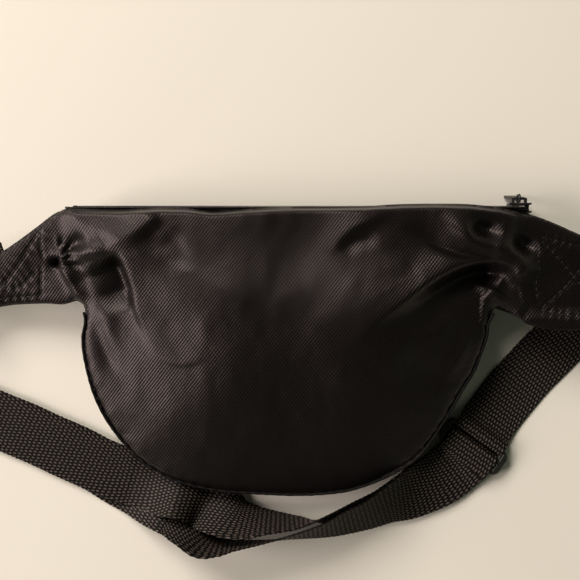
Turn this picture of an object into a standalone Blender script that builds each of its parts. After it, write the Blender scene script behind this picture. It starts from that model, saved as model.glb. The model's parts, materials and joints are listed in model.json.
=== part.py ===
"""A waist pack lying on its front, with its belt buckled and laid beside it.

Metres, +Z up. The origin is the centre of the front pocket's flat face, which rests on the surface.
+X runs along the zip towards the end where its slider rests when closed, and +Y from the round lower
edge towards the zip. Lengths below are in millimetres and are turned into metres by mm().
"""

import math

import bmesh
import bpy
from mathutils import Matrix, Vector

# ---------------------------------------------------------------- driving dimensions, in millimetres

BODY_HALF_WIDTH = 111.5     # at the level where the round lower half starts
BODY_CENTRE_X = -3.0
BODY_ROUND_Y = 24.0         # that level
BODY_BOTTOM_Y = -80.0
BODY_TOP_Y = 79.0
BODY_TOP_LEFT_X = -124.0
BODY_TOP_RIGHT_X = 131.0
ROUND_POWER = 2.15          # superellipse power of the round lower half
ROUND_LEAN = -6.0           # sideways lean of that half, at its middle
BODY_CENTRE_Y = 4.0

FABRIC = 0.8                # modelled thickness of a fabric panel
GAP = 0.3                   # clearance between touching pieces
SEAM_Z_BOTTOM = 14.0        # height of the back panel's seam at the round lower edge
SEAM_Z_TOP = 33.0           # and at the zip
CROWN = 11.0                # rise of the back panel's middle above its seam

POCKET_DEPTH = 7.0
POCKET_HALF_WIDTH = 86.0
POCKET_TOP_Y = 44.0
POCKET_BOTTOM_Y = -64.0
FRONT_PANEL_Z = POCKET_DEPTH + GAP
GUSSET_LOW_Z = FRONT_PANEL_Z + FABRIC + GAP

PIPING_RADIUS = 1.1

ZIP_Z = 22.0                # height of the main zip's centre line
ZIP_TAPE_WIDTH = 5.5
ZIP_TAPE = 0.6
ZIP_ROW_GAP = 1.2           # between the two rows of coil, which the slider's post runs in
COIL_WIDTH = 1.6
COIL_HEIGHT = 2.0
SLIDER_LENGTH = 12.0
SLIDER_WIDTH = 9.0
SLIDER_PLATE = 0.9
SLIDER_X = 126.5
LINK_RADIUS = 0.55          # of the wire link between the slider and its pull
LINK_DEPTH = 3.8            # between the link's two legs
LINK_RISE = 2.4             # from the zip's centre line up to the link's upper end
LINK_DROP = 4.8             # and down to its lower end
LINK_CORNER = 1.6
PULL_LENGTH = 18.6          # from the pull's upper bar to its tip
PULL_WIDTH = 8.0
PULL_THICKNESS = 1.4
PULL_TIP_Z = 0.5
POCKET_ZIP_Y = 49.5
POCKET_SLIDER_X = 76.0

WEBBING_WIDTH = 32.0
WEBBING = 1.3
LAYER_STEP = WEBBING + 0.5  # from one webbing layer's centre to the next, where they lie flat
LAYERS_OPEN = 2.2           # how much further apart they are where they stand on edge

LEFT_WING_TIP = (-190.0, 34.0, 20.0)
LEFT_WING_HEADING = 197.0
LEFT_WING_ROLL = 18.0
RIGHT_WING_TIP = (205.0, 33.0, 20.0)
RIGHT_WING_HEADING = -8.0
WING_ROOT_LOW_Y = 25.0
WING_ROOT_HIGH_Y = 74.8
WING_ROOT_GAP = 1.4         # beside the body's own outline
WING_TIP_WIDTH = 35.0

TRI_GLIDE_AT = (104.0, -55.0)
TRI_GLIDE_HEADING = 235.0
TRI_GLIDE_LENGTH = 41.0     # across the webbing
TRI_GLIDE_WIDTH = 16.0      # along it
TRI_GLIDE_BAR = 2.4
TRI_GLIDE_Z = 4.7           # height of the frame's middle

BUCKLE_AT = (-240.0, 21.5)  # where the plug's shoulder meets the socket's mouth
BUCKLE_HEADING = 10.0
BUCKLE_MIDDLE_Z = 5.5
BUCKLE_HALF_WIDTH = 20.0
BUCKLE_HALF_HEIGHT = 4.9
BUCKLE_WALL = 1.6
SOCKET_LENGTH = 31.0
PLUG_LENGTH = 17.0          # of the plug's base, outside the socket
PLUG_HALF_HEIGHT = 2.3
BUCKLE_BAR = 3.0            # the bars that hold the webbing
BUCKLE_SLOT = 6.0
ARM_LENGTH = 18.5
ARM_PIVOT = (0.6, 11.5)     # along the buckle, and out from its middle

# Centre line of the doubled belt from the tri-glide to the buckle: x, y and the roll of its width
# direction in degrees. At a roll of 0 or 180 it lies flat, and at 90 it stands on one edge.
BELT_ROUTE = [
    (104.0, -55.0, 0), (96.5, -65.0, 0), (87.0, -73.0, 4), (75.0, -79.5, 10), (61.0, -86.0, 30),
    (45.0, -92.0, 46), (29.0, -96.5, 58), (14.0, -99.5, 70), (-1.0, -101.0, 82), (-15.0, -100.5, 95),
    (-29.0, -98.0, 114), (-42.0, -94.5, 137), (-56.0, -90.5, 158), (-72.0, -84.0, 173),
    (-90.0, -75.5, 180), (-115.0, -63.5, 180), (-140.0, -52.0, 180), (-163.0, -42.0, 180),
    (-190.0, -32.0, 182), (-218.0, -27.5, 186), (-244.0, -25.0, 200), (-268.0, -24.5, 228),
    (-290.0, -24.0, 254), (-308.0, -21.0, 268), (-322.0, -13.0, 270), (-328.0, -1.0, 270),
    (-323.5, 10.5, 270), (-312.0, 16.0, 274), (-299.0, 16.6, 292), (-287.0, 16.2, 314),
    (-276.0, 16.2, 337), (-265.6, 17.0, 358),
]

# Centre line of the single belt from inside the right wing, under its tip, to the tri-glide:
# x, y, z and roll.
WING_RUN_ROUTE = [
    (170.0, 38.0, 22.2, 180), (188.0, 35.4, 21.0, 180), (205.0, 33.0, 20.0, 180), (214.5, 31.8, 19.2, 180),
    (221.0, 31.3, 16.2, 180), (224.0, 31.1, 10.4, 180), (221.0, 31.0, 4.6, 180), (212.0, 30.8, 1.7, 180),
    (197.0, 29.6, 1.1, 180), (181.0, 24.8, 1.0, 180), (166.5, 15.2, 1.0, 180), (153.5, 3.4, 1.0, 180),
    (141.0, -8.8, 1.0, 180), (129.8, -21.0, 1.0, 180), (119.5, -33.6, 1.2, 180),
]

# Short belt from inside the left wing towards the socket's bar: x, y, z and roll.
LEFT_RUN_ROUTE = [
    (-154.0, 45.0, 22.6, -13), (-172.0, 39.6, 21.2, -16), (-190.0, 34.0, 20.0, -18),
    (-196.0, 31.9, 17.4, -11), (-201.0, 30.1, 13.2, -4),
]


# ------------------------------------------------------------------------------------------- helpers

def mm(*values):
    """Millimetres to metres: one number, or several as a Vector."""
    if len(values) == 1:
        return values[0] / 1000.0
    return Vector(values) / 1000.0


def new_collection(name):
    collection = bpy.data.collections.new(name)
    bpy.context.scene.collection.children.link(collection)
    return collection


def clear_scene():
    for item in list(bpy.data.objects):
        bpy.data.objects.remove(item, do_unlink=True)


clear_scene()
PARTS = new_collection("waist_pack")
CUTTERS = new_collection("cutters")
MATERIALS = {}


def material(name, colour, roughness):
    """A Principled material of that colour, made once."""
    if name not in MATERIALS:
        made = bpy.data.materials.new(name)
        made.use_nodes = True
        shader = made.node_tree.nodes["Principled BSDF"]
        shader.inputs["Base Color"].default_value = (*colour, 1.0)
        shader.inputs["Roughness"].default_value = roughness
        MATERIALS[name] = made
    return MATERIALS[name]


def nylon():
    return material("black_nylon", (0.030, 0.026, 0.030), 0.45)


def webbing_material():
    return material("black_webbing", (0.022, 0.020, 0.020), 0.6)


def plastic():
    return material("black_plastic", (0.012, 0.012, 0.012), 0.35)


def zip_metal():
    return material("black_zip_metal", (0.02, 0.02, 0.02), 0.3)


def zip_fabric():
    return material("black_zip_tape", (0.018, 0.017, 0.018), 0.6)


def keep(item, finish, parent=None):
    """Links an object to the parts, gives it its material and its parent."""
    PARTS.objects.link(item)
    item.data.materials.append(finish)
    if parent is not None:
        item.parent = parent
    return item


def object_from_bmesh(name, shape, finish, parent=None):
    """A named object from a bmesh, with its faces turned outwards and its round edges smooth."""
    bmesh.ops.recalc_face_normals(shape, faces=shape.faces)
    data = bpy.data.meshes.new(name)
    shape.to_mesh(data)
    shape.free()
    data.shade_smooth()
    data.set_sharp_from_angle(angle=math.radians(35))
    return keep(bpy.data.objects.new(name, data), finish, parent)


def box(name, low, high, finish, parent=None, bevel=0.0):
    """A box between two corners in millimetres, its edges rounded by bevel."""
    low, high = mm(*low), mm(*high)
    shape = bmesh.new()
    bmesh.ops.create_cube(shape, size=1.0)
    size = high - low
    bmesh.ops.scale(shape, vec=size, verts=shape.verts)
    bmesh.ops.translate(shape, vec=(low + high) / 2, verts=shape.verts)
    made = object_from_bmesh(name, shape, finish, parent)
    if bevel:
        round_edges(made, bevel)
    return made


def round_edges(item, radius, segments=2):
    bevel = item.modifiers.new("rounded edges", "BEVEL")
    bevel.width = mm(radius)
    bevel.segments = segments
    bevel.limit_method = "ANGLE"
    bevel.angle_limit = math.radians(40)


def boolean(item, other, operation):
    """Joins or cuts item by another object, which becomes a hidden cutter."""
    modifier = item.modifiers.new(f"{operation.lower()} {other.name}", "BOOLEAN")
    modifier.object = other
    modifier.operation = operation
    modifier.solver = "EXACT"
    other.hide_render = True
    other.display_type = "WIRE"
    PARTS.objects.unlink(other)
    CUTTERS.objects.link(other)


def solidify(item, thickness, offset=0.0):
    modifier = item.modifiers.new("thickness", "SOLIDIFY")
    modifier.thickness = mm(thickness)
    modifier.offset = offset
    modifier.use_even_offset = True


def empty(name, at, heading=0.0):
    """A frame for a sub-assembly: at in millimetres, its X axis turned by heading degrees about Z."""
    made = bpy.data.objects.new(name, None)
    made.location = mm(*at)
    made.rotation_euler = (0.0, 0.0, math.radians(heading))
    PARTS.objects.link(made)
    return made


def flat_plate(name, outline, low_z, thickness, finish):
    """A flat piece cut to an outline, from low_z upwards."""
    curve = bpy.data.curves.new(name, "CURVE")
    curve.dimensions = "2D"
    curve.fill_mode = "BOTH"
    curve.extrude = mm(thickness / 2)
    curve.resolution_u = curve.render_resolution_u = 1
    spline = curve.splines.new("POLY")
    spline.points.add(len(outline) - 1)
    for point, (x, y) in zip(spline.points, outline):
        point.co = (mm(x), mm(y), 0.0, 1.0)
    spline.use_cyclic_u = True
    made = keep(bpy.data.objects.new(name, curve), finish)
    made.location.z = mm(low_z + thickness / 2)
    return made


def tube(name, points, radius, finish, parent=None, closed=False):
    """A round tube along a smooth route of points in millimetres."""
    curve = bpy.data.curves.new(name, "CURVE")
    curve.dimensions = "3D"
    curve.bevel_depth = mm(radius)
    curve.bevel_resolution = 2
    curve.use_fill_caps = not closed
    curve.resolution_u = curve.render_resolution_u = 1
    spline = curve.splines.new("POLY")
    spline.points.add(len(points) - 1)
    for point, place in zip(spline.points, points):
        point.co = (*mm(*place), 1.0)
    spline.use_cyclic_u = closed
    return keep(bpy.data.objects.new(name, curve), finish, parent)


def smooth_route(route, per_span):
    """Points on a Catmull-Rom curve through the route, per_span to each of its spans."""
    points = []
    for i in range(len(route) - 1):
        before, start = route[max(i - 1, 0)], route[i]
        end, after = route[i + 1], route[min(i + 2, len(route) - 1)]
        for k in range(per_span):
            t = k / per_span
            points.append(tuple(
                0.5 * (2 * b + (c - a) * t + (2 * a - 5 * b + 4 * c - d) * t * t
                       + (3 * b - a - 3 * c + d) * t ** 3)
                for a, b, c, d in zip(before, start, end, after)))
    points.append(tuple(route[-1]))
    return points


def ribbon(name, stations, finish, width=WEBBING_WIDTH, thickness=WEBBING, first_side=None):
    """A flat strap along stations of x, y, z and roll.

    The width direction is level at a roll of 0, at right angles to the direction of travel, and
    turns about the centre line with the roll. It keeps its side where the strap folds back. A
    station with a fifth value takes that as its width direction.
    """
    shape = bmesh.new()
    rings = []
    previous_side = first_side
    for i, (x, y, z, roll, *shared_side) in enumerate(stations):
        ahead = stations[min(i + 1, len(stations) - 1)]
        behind = stations[max(i - 1, 0)]
        travel = Vector([a - b for a, b in zip(ahead[:3], behind[:3])]).normalized()
        if shared_side:
            across = shared_side[0] - travel * shared_side[0].dot(travel)
            across.normalize()
            previous_side = across.copy()
        else:
            level = travel.cross(Vector((0, 0, 1)))
            if level.length < 0.25 and previous_side is not None:
                level = previous_side
            if previous_side is not None and level.dot(previous_side) < 0:
                level = -level
            level = (level - travel * level.dot(travel)).normalized()
            previous_side = level.copy()
            across = Matrix.Rotation(math.radians(roll), 3, travel) @ level
        normal = across.cross(travel)
        centre = Vector((x, y, z))
        corners = [
            centre + across * (sw * width / 2) + normal * (st * thickness / 2)
            for sw, st in ((-1, -1), (1, -1), (1, 1), (-1, 1))]
        rings.append([shape.verts.new(mm(*corner)) for corner in corners])
    for a, b in zip(rings, rings[1:]):
        # both faces are split along the same diagonal, so that a twisted stretch keeps its thickness
        for from_a, to_b in (((0, 1), (1, 0)), ((3, 2), (2, 3)), ((1, 2), (2, 1)), ((0, 3), (3, 0))):
            shape.faces.new((a[from_a[0]], a[from_a[1]], b[to_b[0]]))
            shape.faces.new((a[from_a[0]], b[to_b[0]], b[to_b[1]]))
    shape.faces.new(rings[0])
    shape.faces.new(rings[-1])
    return object_from_bmesh(name, shape, finish)


# ---------------------------------------------------------------------------------- the bag's outlines

def seam_z(y):
    """Height of the seam between the back panel and the walls."""
    share = (y - BODY_BOTTOM_Y) / (BODY_TOP_Y - BODY_BOTTOM_Y)
    return SEAM_Z_BOTTOM + (SEAM_Z_TOP - SEAM_Z_BOTTOM) * share


def side_x(side, y):
    """Where the body's left (-1) or right (+1) side is, above the round lower half."""
    top = BODY_TOP_LEFT_X if side < 0 else BODY_TOP_RIGHT_X
    share = (y - BODY_ROUND_Y) / (BODY_TOP_Y - BODY_ROUND_Y)
    low = BODY_CENTRE_X + side * BODY_HALF_WIDTH
    return low + (top - low) * share


def round_half(steps, inset=0.0, half_width=BODY_HALF_WIDTH, top=BODY_ROUND_Y,
               bottom=BODY_BOTTOM_Y, centre_x=BODY_CENTRE_X, lean=ROUND_LEAN):
    """The round lower half, from its left end round the bottom to its right end."""
    points = []
    for i in range(steps + 1):
        angle = math.pi + math.pi * i / steps
        c, s = math.cos(angle), math.sin(angle)
        drop = abs(s) ** (2 / ROUND_POWER)
        x = (half_width - inset) * math.copysign(abs(c) ** (2 / ROUND_POWER), c)
        points.append((centre_x + x + lean * math.sin(math.pi * drop), top - (top - bottom - inset) * drop))
    return points


def wall_line(inset, side_steps, round_steps):
    """The body's open outline, from the top left corner down, round and up to the top right."""
    left, right = [], []
    top = BODY_TOP_Y - inset
    for i in range(side_steps):
        y = top + (BODY_ROUND_Y - top) * i / side_steps
        left.append((side_x(-1, y) + inset, y))
        right.append((side_x(1, y) - inset, y))
    return left + round_half(round_steps, inset) + right[::-1]


def closed_outline(inset, side_steps=4, round_steps=36, top_steps=14):
    """The same outline closed along the top."""
    line = wall_line(inset, side_steps, round_steps)
    (x0, y0), (x1, y1) = line[-1], line[0]
    top = [(x0 + (x1 - x0) * i / top_steps, y0 + (y1 - y0) * i / top_steps)
           for i in range(1, top_steps)]
    return line + top


# ------------------------------------------------------------------------------------ the bag's shell

def crown_z(x, y, share):
    """Height of the back panel where share runs from 0 at its middle to 1 at its seam."""
    return seam_z(y) + CROWN * (1 - share ** 2.2)


def back_panel():
    """The panel against the wearer: a crowned skin inside the piping."""
    outline = closed_outline(0.6)
    shape = bmesh.new()
    rings = []
    for share in (1.0, 0.93, 0.82, 0.66, 0.46, 0.24):
        ring = []
        for x, y in outline:
            x, y = x * share, BODY_CENTRE_Y + (y - BODY_CENTRE_Y) * share
            ring.append(shape.verts.new(mm(x, y, crown_z(x, y, share) + FABRIC)))
        rings.append(ring)
    for outer, inner in zip(rings, rings[1:]):
        for k in range(len(outline)):
            n = (k + 1) % len(outline)
            shape.faces.new((outer[k], outer[n], inner[n], inner[k]))
    middle = shape.verts.new(mm(0, BODY_CENTRE_Y, crown_z(0, BODY_CENTRE_Y, 0) + FABRIC))
    for k in range(len(outline)):
        shape.faces.new((rings[-1][k], rings[-1][(k + 1) % len(outline)], middle))
    solidify(object_from_bmesh("back_panel", shape, nylon()), FABRIC)


def front_panel():
    flat_plate("front_panel", closed_outline(0.0), FRONT_PANEL_Z, FABRIC, nylon())


def wall_strip(name, line, low, high, finish):
    """An upright strip of fabric along a line, from low(y) to high(y)."""
    shape = bmesh.new()
    columns = []
    for x, y in line:
        bottom, top = low(y), high(y)
        columns.append([shape.verts.new(mm(x, y, bottom + (top - bottom) * k / 2)) for k in range(3)])
    for a, b in zip(columns, columns[1:]):
        for k in range(2):
            shape.faces.new((a[k], b[k], b[k + 1], a[k + 1]))
    solidify(object_from_bmesh(name, shape, finish), FABRIC)


def side_gusset():
    """One strip from the zip's left end round the bottom to its right end."""
    line = wall_line(0.5, 6, 40)
    line = [(x, y) for x, y in line if y < BODY_TOP_Y - 4.5]
    wall_strip("side_gusset", line, lambda y: GUSSET_LOW_Z, lambda y: seam_z(y) - GAP, nylon())


def top_panels():
    """The two strips of the top, on either side of the zip."""
    left, right = BODY_TOP_LEFT_X + 1.0, BODY_TOP_RIGHT_X - 1.0
    low_y, high_y = BODY_TOP_Y - FABRIC, BODY_TOP_Y
    box("top_panel_back", (left, low_y, ZIP_Z + 3.5), (right, high_y, SEAM_Z_TOP - 1.0), nylon())
    box("top_panel_front", (left, low_y, GUSSET_LOW_Z), (right, high_y, ZIP_Z - 3.5), nylon())


def seam_piping():
    """Bound seams round the lower edge: behind, at the back panel, and in front, at the front panel."""
    lift = PIPING_RADIUS + FABRIC / 2
    line = [p for p in wall_line(-PIPING_RADIUS, 6, 48) if p[1] < WING_ROOT_LOW_Y - 2.5]
    tube("back_piping", [(x, y, seam_z(y) + 0.4) for x, y in line], PIPING_RADIUS, nylon())
    front = [p for p in wall_line(-PIPING_RADIUS - GAP, 6, 48) if p[1] < BODY_TOP_Y - 2.0]
    tube("front_piping", [(x, y, FRONT_PANEL_Z + lift - 0.9) for x, y in front], PIPING_RADIUS, nylon())


# --------------------------------------------------------------------------------------- front pocket

def pocket_outline(inset):
    return round_half(32, inset, POCKET_HALF_WIDTH, POCKET_TOP_Y - inset, POCKET_BOTTOM_Y, 0.0, 0.0)


def pocket_panel():
    """A shallow tray sewn on the front panel, open towards it."""
    shape = bmesh.new()
    rings = []
    for inset, z in ((0.0, 0.0), (0.0, POCKET_DEPTH), (FABRIC, POCKET_DEPTH), (FABRIC, FABRIC)):
        rings.append([shape.verts.new(mm(x, y, z)) for x, y in pocket_outline(inset)])
    count = len(rings[0])
    for a, b in zip(rings, rings[1:]):
        for k in range(count):
            n = (k + 1) % count
            shape.faces.new((a[k], a[n], b[n], b[k]))
    shape.faces.new(rings[0])
    shape.faces.new(rings[-1])
    object_from_bmesh("pocket_panel", shape, nylon())


def pocket_zip():
    """The zip along the pocket's upper edge, in a plane parallel to the front panel."""
    half = POCKET_HALF_WIDTH - 4.0
    tape_z = FRONT_PANEL_Z - 1.6
    row = ZIP_ROW_GAP / 2
    for side, label in ((-1, "lower"), (1, "upper")):
        near, far = side * row, side * (row + ZIP_TAPE_WIDTH - 1.0)
        low, high = sorted((POCKET_ZIP_Y + near, POCKET_ZIP_Y + far))
        box(f"pocket_zip_tape_{label}", (-half, low, tape_z), (half, high, tape_z + ZIP_TAPE),
            zip_fabric())
        low, high = sorted((POCKET_ZIP_Y + near, POCKET_ZIP_Y + side * (row + COIL_WIDTH)))
        box(f"pocket_zip_coil_{label}", (-half + 3, low, tape_z - GAP - 1.4), (half - 3, high, tape_z - GAP),
            zip_fabric(), bevel=0.4)
    slider_body("pocket_zip_slider", (POCKET_SLIDER_X, POCKET_ZIP_Y), tape_z)


def slider_body(name, at, tape_z):
    """The pocket's slider: an inner and an outer plate joined by a post between the coil rows."""
    x, y = at
    half, across = 5.0, 3.6
    outer_top = tape_z - GAP - 1.4 - GAP
    inner_low = tape_z + ZIP_TAPE + GAP
    outer = box(name, (x - half, y - across, outer_top - 0.7), (x + half, y + across, outer_top),
                zip_metal())
    inner = box(name + "_inner", (x - half, y - across, inner_low), (x + half, y + across, inner_low + 0.5),
                zip_metal())
    post = box(name + "_post", (x + half - 2.0, y - 0.3, outer_top - 0.3),
               (x + half - 0.4, y + 0.3, inner_low + 0.3), zip_metal())
    boolean(outer, post, "UNION")
    boolean(outer, inner, "UNION")
    bridge = box(name + "_bridge", (x - 3.4, y - 0.9, outer_top - 2.6), (x + 3.4, y + 0.9, outer_top - 0.5),
                 zip_metal())
    eye = box(name + "_eye", (x - 2.2, y - 2.0, outer_top - 2.0), (x + 2.2, y + 2.0, outer_top - 0.7),
              zip_metal())
    boolean(bridge, eye, "DIFFERENCE")
    boolean(outer, bridge, "UNION")


# -------------------------------------------------------------------------------------------- main zip

def main_zip():
    """Two tapes behind the top panels, two rows of coil, and their end stops."""
    left, right = BODY_TOP_LEFT_X + 2.5, BODY_TOP_RIGHT_X - 1.0
    tape_y = BODY_TOP_Y - FABRIC - GAP - ZIP_TAPE
    coil_low = tape_y + ZIP_TAPE + GAP
    row = ZIP_ROW_GAP / 2
    for side, label in ((-1, "front"), (1, "back")):
        low, high = sorted((ZIP_Z + side * row, ZIP_Z + side * (row + ZIP_TAPE_WIDTH)))
        box(f"main_zip_tape_{label}", (left, tape_y, low), (right, tape_y + ZIP_TAPE, high), zip_fabric())
        low, high = sorted((ZIP_Z + side * row, ZIP_Z + side * (row + COIL_WIDTH)))
        box(f"main_zip_coil_{label}", (left + 5, coil_low, low),
            (right - 3.0, coil_low + COIL_HEIGHT, high), zip_fabric(), bevel=0.5)
    box("main_zip_end_stop", (left + 2.0, coil_low, ZIP_Z - row - COIL_WIDTH),
        (left + 4.5, coil_low + COIL_HEIGHT, ZIP_Z + row + COIL_WIDTH), zip_metal(), bevel=0.4)


def main_slider():
    """The main zip's slider, in the same two plates; gives back how far out its outer one reaches."""
    tape_y = BODY_TOP_Y - FABRIC - GAP - ZIP_TAPE
    outer_low = tape_y + ZIP_TAPE + GAP + COIL_HEIGHT + GAP
    inner_high = tape_y - GAP
    half, across = SLIDER_LENGTH / 2, SLIDER_WIDTH / 2
    body = box("main_zip_slider", (SLIDER_X - half, outer_low, ZIP_Z - across),
               (SLIDER_X + half, outer_low + SLIDER_PLATE, ZIP_Z + across), zip_metal())
    inner = box("slider_inner_plate", (SLIDER_X - half, inner_high - SLIDER_PLATE, ZIP_Z - across),
                (SLIDER_X + half, inner_high, ZIP_Z + across), zip_metal())
    post = box("slider_post", (SLIDER_X + half - 3.0, inner_high - 0.3, ZIP_Z - 0.3),
               (SLIDER_X + half - 0.6, outer_low + 0.3, ZIP_Z + 0.3), zip_metal())
    outer_top = outer_low + SLIDER_PLATE
    bridge = box("slider_bridge", (SLIDER_X - 4.2, outer_top - 0.3, ZIP_Z - 1.1),
                 (SLIDER_X + 4.2, outer_top + 3.0, ZIP_Z + 1.1), zip_metal())
    eye = box("slider_eye", (SLIDER_X - 2.8, outer_top, ZIP_Z - 2.0),
              (SLIDER_X + 2.8, outer_top + 2.0, ZIP_Z + 2.0), zip_metal())
    boolean(bridge, eye, "DIFFERENCE")
    boolean(body, post, "UNION")
    boolean(body, inner, "UNION")
    boolean(body, bridge, "UNION")
    return outer_top


def main_pull(outer_top):
    """A wire link through the slider's eye, and the tab that hangs on it with its tip by the surface."""
    inner = outer_top + 1.0
    outer = inner + LINK_DEPTH
    low, high = ZIP_Z - LINK_DROP, ZIP_Z + LINK_RISE
    loop = []
    for y, z, start in ((inner, low, 180), (outer, low, 270), (outer, high, 0), (inner, high, 90)):
        y += LINK_CORNER if y == inner else -LINK_CORNER
        z += LINK_CORNER if z == low else -LINK_CORNER
        for step in range(4):
            angle = math.radians(start + 30 * step)
            loop.append((SLIDER_X, y + LINK_CORNER * math.cos(angle), z + LINK_CORNER * math.sin(angle)))
    tube("main_zip_link", loop, LINK_RADIUS, zip_metal(), closed=True)

    bar_z = low + LINK_RADIUS + 1.15
    pivot = empty("pull_pivot", (SLIDER_X, (inner + outer) / 2, bar_z))
    pivot.rotation_euler = (math.acos((bar_z - PULL_TIP_Z) / PULL_LENGTH), 0, 0)
    tab = box("main_zip_pull", (-PULL_WIDTH / 2, -PULL_THICKNESS / 2, -PULL_LENGTH),
              (PULL_WIDTH / 2, PULL_THICKNESS / 2, PULL_THICKNESS / 2), zip_metal(), parent=pivot)
    hole = box("pull_hole", (-1.2, -3.0, -3.1), (1.2, 3.0, -PULL_THICKNESS / 2), zip_metal(), parent=pivot)
    boolean(tab, hole, "DIFFERENCE")


def pocket_pull():
    """The pocket's pull lies back along its zip, under the coil."""
    tape_z = FRONT_PANEL_Z - 1.6
    outer_top = tape_z - GAP - 1.4 - GAP
    bar_x = POCKET_SLIDER_X
    bar_z = outer_top - 1.35
    tab = box("pocket_zip_pull", (bar_x - 20.0, POCKET_ZIP_Y - 3.4, bar_z - 0.4),
              (bar_x + 0.8, POCKET_ZIP_Y + 3.4, bar_z + 0.4), zip_metal())
    eye = box("pocket_pull_eye", (bar_x - 3.9, POCKET_ZIP_Y - 1.9, bar_z - 2.0),
              (bar_x + 0.0, POCKET_ZIP_Y + 1.9, bar_z + 2.0), zip_metal())
    boolean(tab, eye, "DIFFERENCE")


# ----------------------------------------------------------------------------------------------- wings

def wing_layer(name, side, tip, heading, roll, root_lift, tip_lift):
    """One layer of a wing: from the body's side to the webbing at its tip."""
    outward = Vector((math.cos(math.radians(heading)), math.sin(math.radians(heading)), 0))
    across = Vector((0, 0, 1)).cross(outward) * (-1 if side > 0 else 1)
    across = Matrix.Rotation(math.radians(roll), 3, outward) @ across
    if across.y < 0:
        across = -across
    shape = bmesh.new()
    along_steps, across_steps = 8, 5
    grid = []
    for i in range(along_steps + 1):
        u = i / along_steps
        ease = u ** 0.85
        row = []
        for j in range(across_steps + 1):
            v = j / across_steps
            y = WING_ROOT_LOW_Y + (WING_ROOT_HIGH_Y - WING_ROOT_LOW_Y) * v
            root = Vector((side_x(side, y) + side * WING_ROOT_GAP, y, seam_z(y) + root_lift))
            end = Vector(tip) + across * (WING_TIP_WIDTH * (v - 0.5)) + Vector((0, 0, tip_lift))
            row.append(shape.verts.new(mm(*(root.lerp(end, ease)))))
        grid.append(row)
    for i in range(along_steps):
        for j in range(across_steps):
            shape.faces.new((grid[i][j], grid[i + 1][j], grid[i + 1][j + 1], grid[i][j + 1]))
    solidify(object_from_bmesh(name, shape, nylon()), FABRIC)


def wings():
    lift = WEBBING / 2 + GAP + FABRIC / 2 + 0.65
    for label, root_lift, tip_lift in (("back", 0.2, lift), ("front", -8.5, -lift)):
        wing_layer(f"left_wing_{label}_layer", -1, LEFT_WING_TIP, LEFT_WING_HEADING, -LEFT_WING_ROLL,
                   root_lift, tip_lift)
        wing_layer(f"right_wing_{label}_layer", 1, RIGHT_WING_TIP, RIGHT_WING_HEADING, 0,
                   root_lift, tip_lift)


# ------------------------------------------------------------------------------------------ belt webbing

def layer_of_doubled_belt(side):
    """Centre line of one of the doubled belt's two layers: side is +1 for the outer face's layer."""
    route = []
    for x, y, roll in smooth_route(BELT_ROUTE, 4):
        lean = math.radians(roll)
        lift = (WEBBING_WIDTH / 2) * abs(math.sin(lean)) + LAYER_STEP * abs(math.cos(lean))
        route.append((Vector((x, y, lift + 0.4)), lean))
    stations = []
    for i, (place, lean) in enumerate(route):
        travel = (route[min(i + 1, len(route) - 1)][0] - route[max(i - 1, 0)][0]).normalized()
        level = travel.cross(Vector((0, 0, 1))).normalized()
        across = Matrix.Rotation(lean, 3, travel) @ level
        normal = across.cross(travel)
        step = LAYER_STEP + LAYERS_OPEN * abs(math.sin(lean))
        if math.dist(place[:2], TRI_GLIDE_AT) > TRI_GLIDE_WIDTH / 2 + 4.5:
            stations.append((*(place + normal * (side * step / 2)), 0, across))
    return stations


def line_from(at, heading, places, roll):
    """Stations in an upright plane: places are (distance along the heading, height)."""
    angle = math.radians(heading)
    return [(at[0] + math.cos(angle) * along, at[1] + math.sin(angle) * along, z, roll)
            for along, z in places]


def belt():
    """One strap in three stretches: wing to slide, slide to buckle, and back to the slide's bar."""
    over = TRI_GLIDE_Z + 2.15
    wing_run = smooth_route(WING_RUN_ROUTE, 3)
    wing_run += line_from(TRI_GLIDE_AT, TRI_GLIDE_HEADING, [
        (-14.0, 2.6), (-11.0, 5.4), (-8.8, over), (-6.4, over + 0.05), (-5.1, over - 0.2), (-4.65, 5.3),
        (-4.5, 3.4), (-4.2, 2.0), (-3.4, 1.1), (-2.0, 0.95), (3.0, 0.95), (9.0, 0.95)], 180)
    ribbon("belt_webbing_wing_run", wing_run, webbing_material())

    bar_under, bar_over = BUCKLE_MIDDLE_Z - 2.75, BUCKLE_MIDDLE_Z + 2.75
    bar_at = -PLUG_LENGTH + BUCKLE_BAR / 2
    slot_at = -PLUG_LENGTH + BUCKLE_BAR + 1.1
    wrap = line_from(BUCKLE_AT, BUCKLE_HEADING, [
        (bar_at - 4.0, bar_under - 0.6), (bar_at, bar_under), (slot_at - 0.9, bar_under + 0.15),
        (slot_at, BUCKLE_MIDDLE_Z - 1.3), (slot_at, BUCKLE_MIDDLE_Z + 1.3),
        (slot_at - 0.5, bar_over - 0.4)], 0)
    ribbon("belt_webbing_lower_run", layer_of_doubled_belt(-1) + wrap, webbing_material())

    heading = math.radians(TRI_GLIDE_HEADING)
    side = Vector((math.cos(heading), math.sin(heading), 0)).cross(Vector((0, 0, 1)))
    under = TRI_GLIDE_Z - 2.1
    loop = line_from(TRI_GLIDE_AT, TRI_GLIDE_HEADING, [
        (3.0, under), (-0.6, under), (-1.8, under + 0.4), (-2.35, under + 1.4), (-2.35, over - 1.3),
        (-1.8, over - 0.3), (-0.8, over), (3.0, over), (8.6, over), (11.0, over - 0.9)], 0)
    end = line_from(BUCKLE_AT, BUCKLE_HEADING, [
        (bar_at - 4.0, bar_over - 0.7), (bar_at - 0.4, bar_over + 0.05)], 0)
    ribbon("belt_webbing_upper_run", loop + layer_of_doubled_belt(1) + end, webbing_material(),
           first_side=side)


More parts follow.
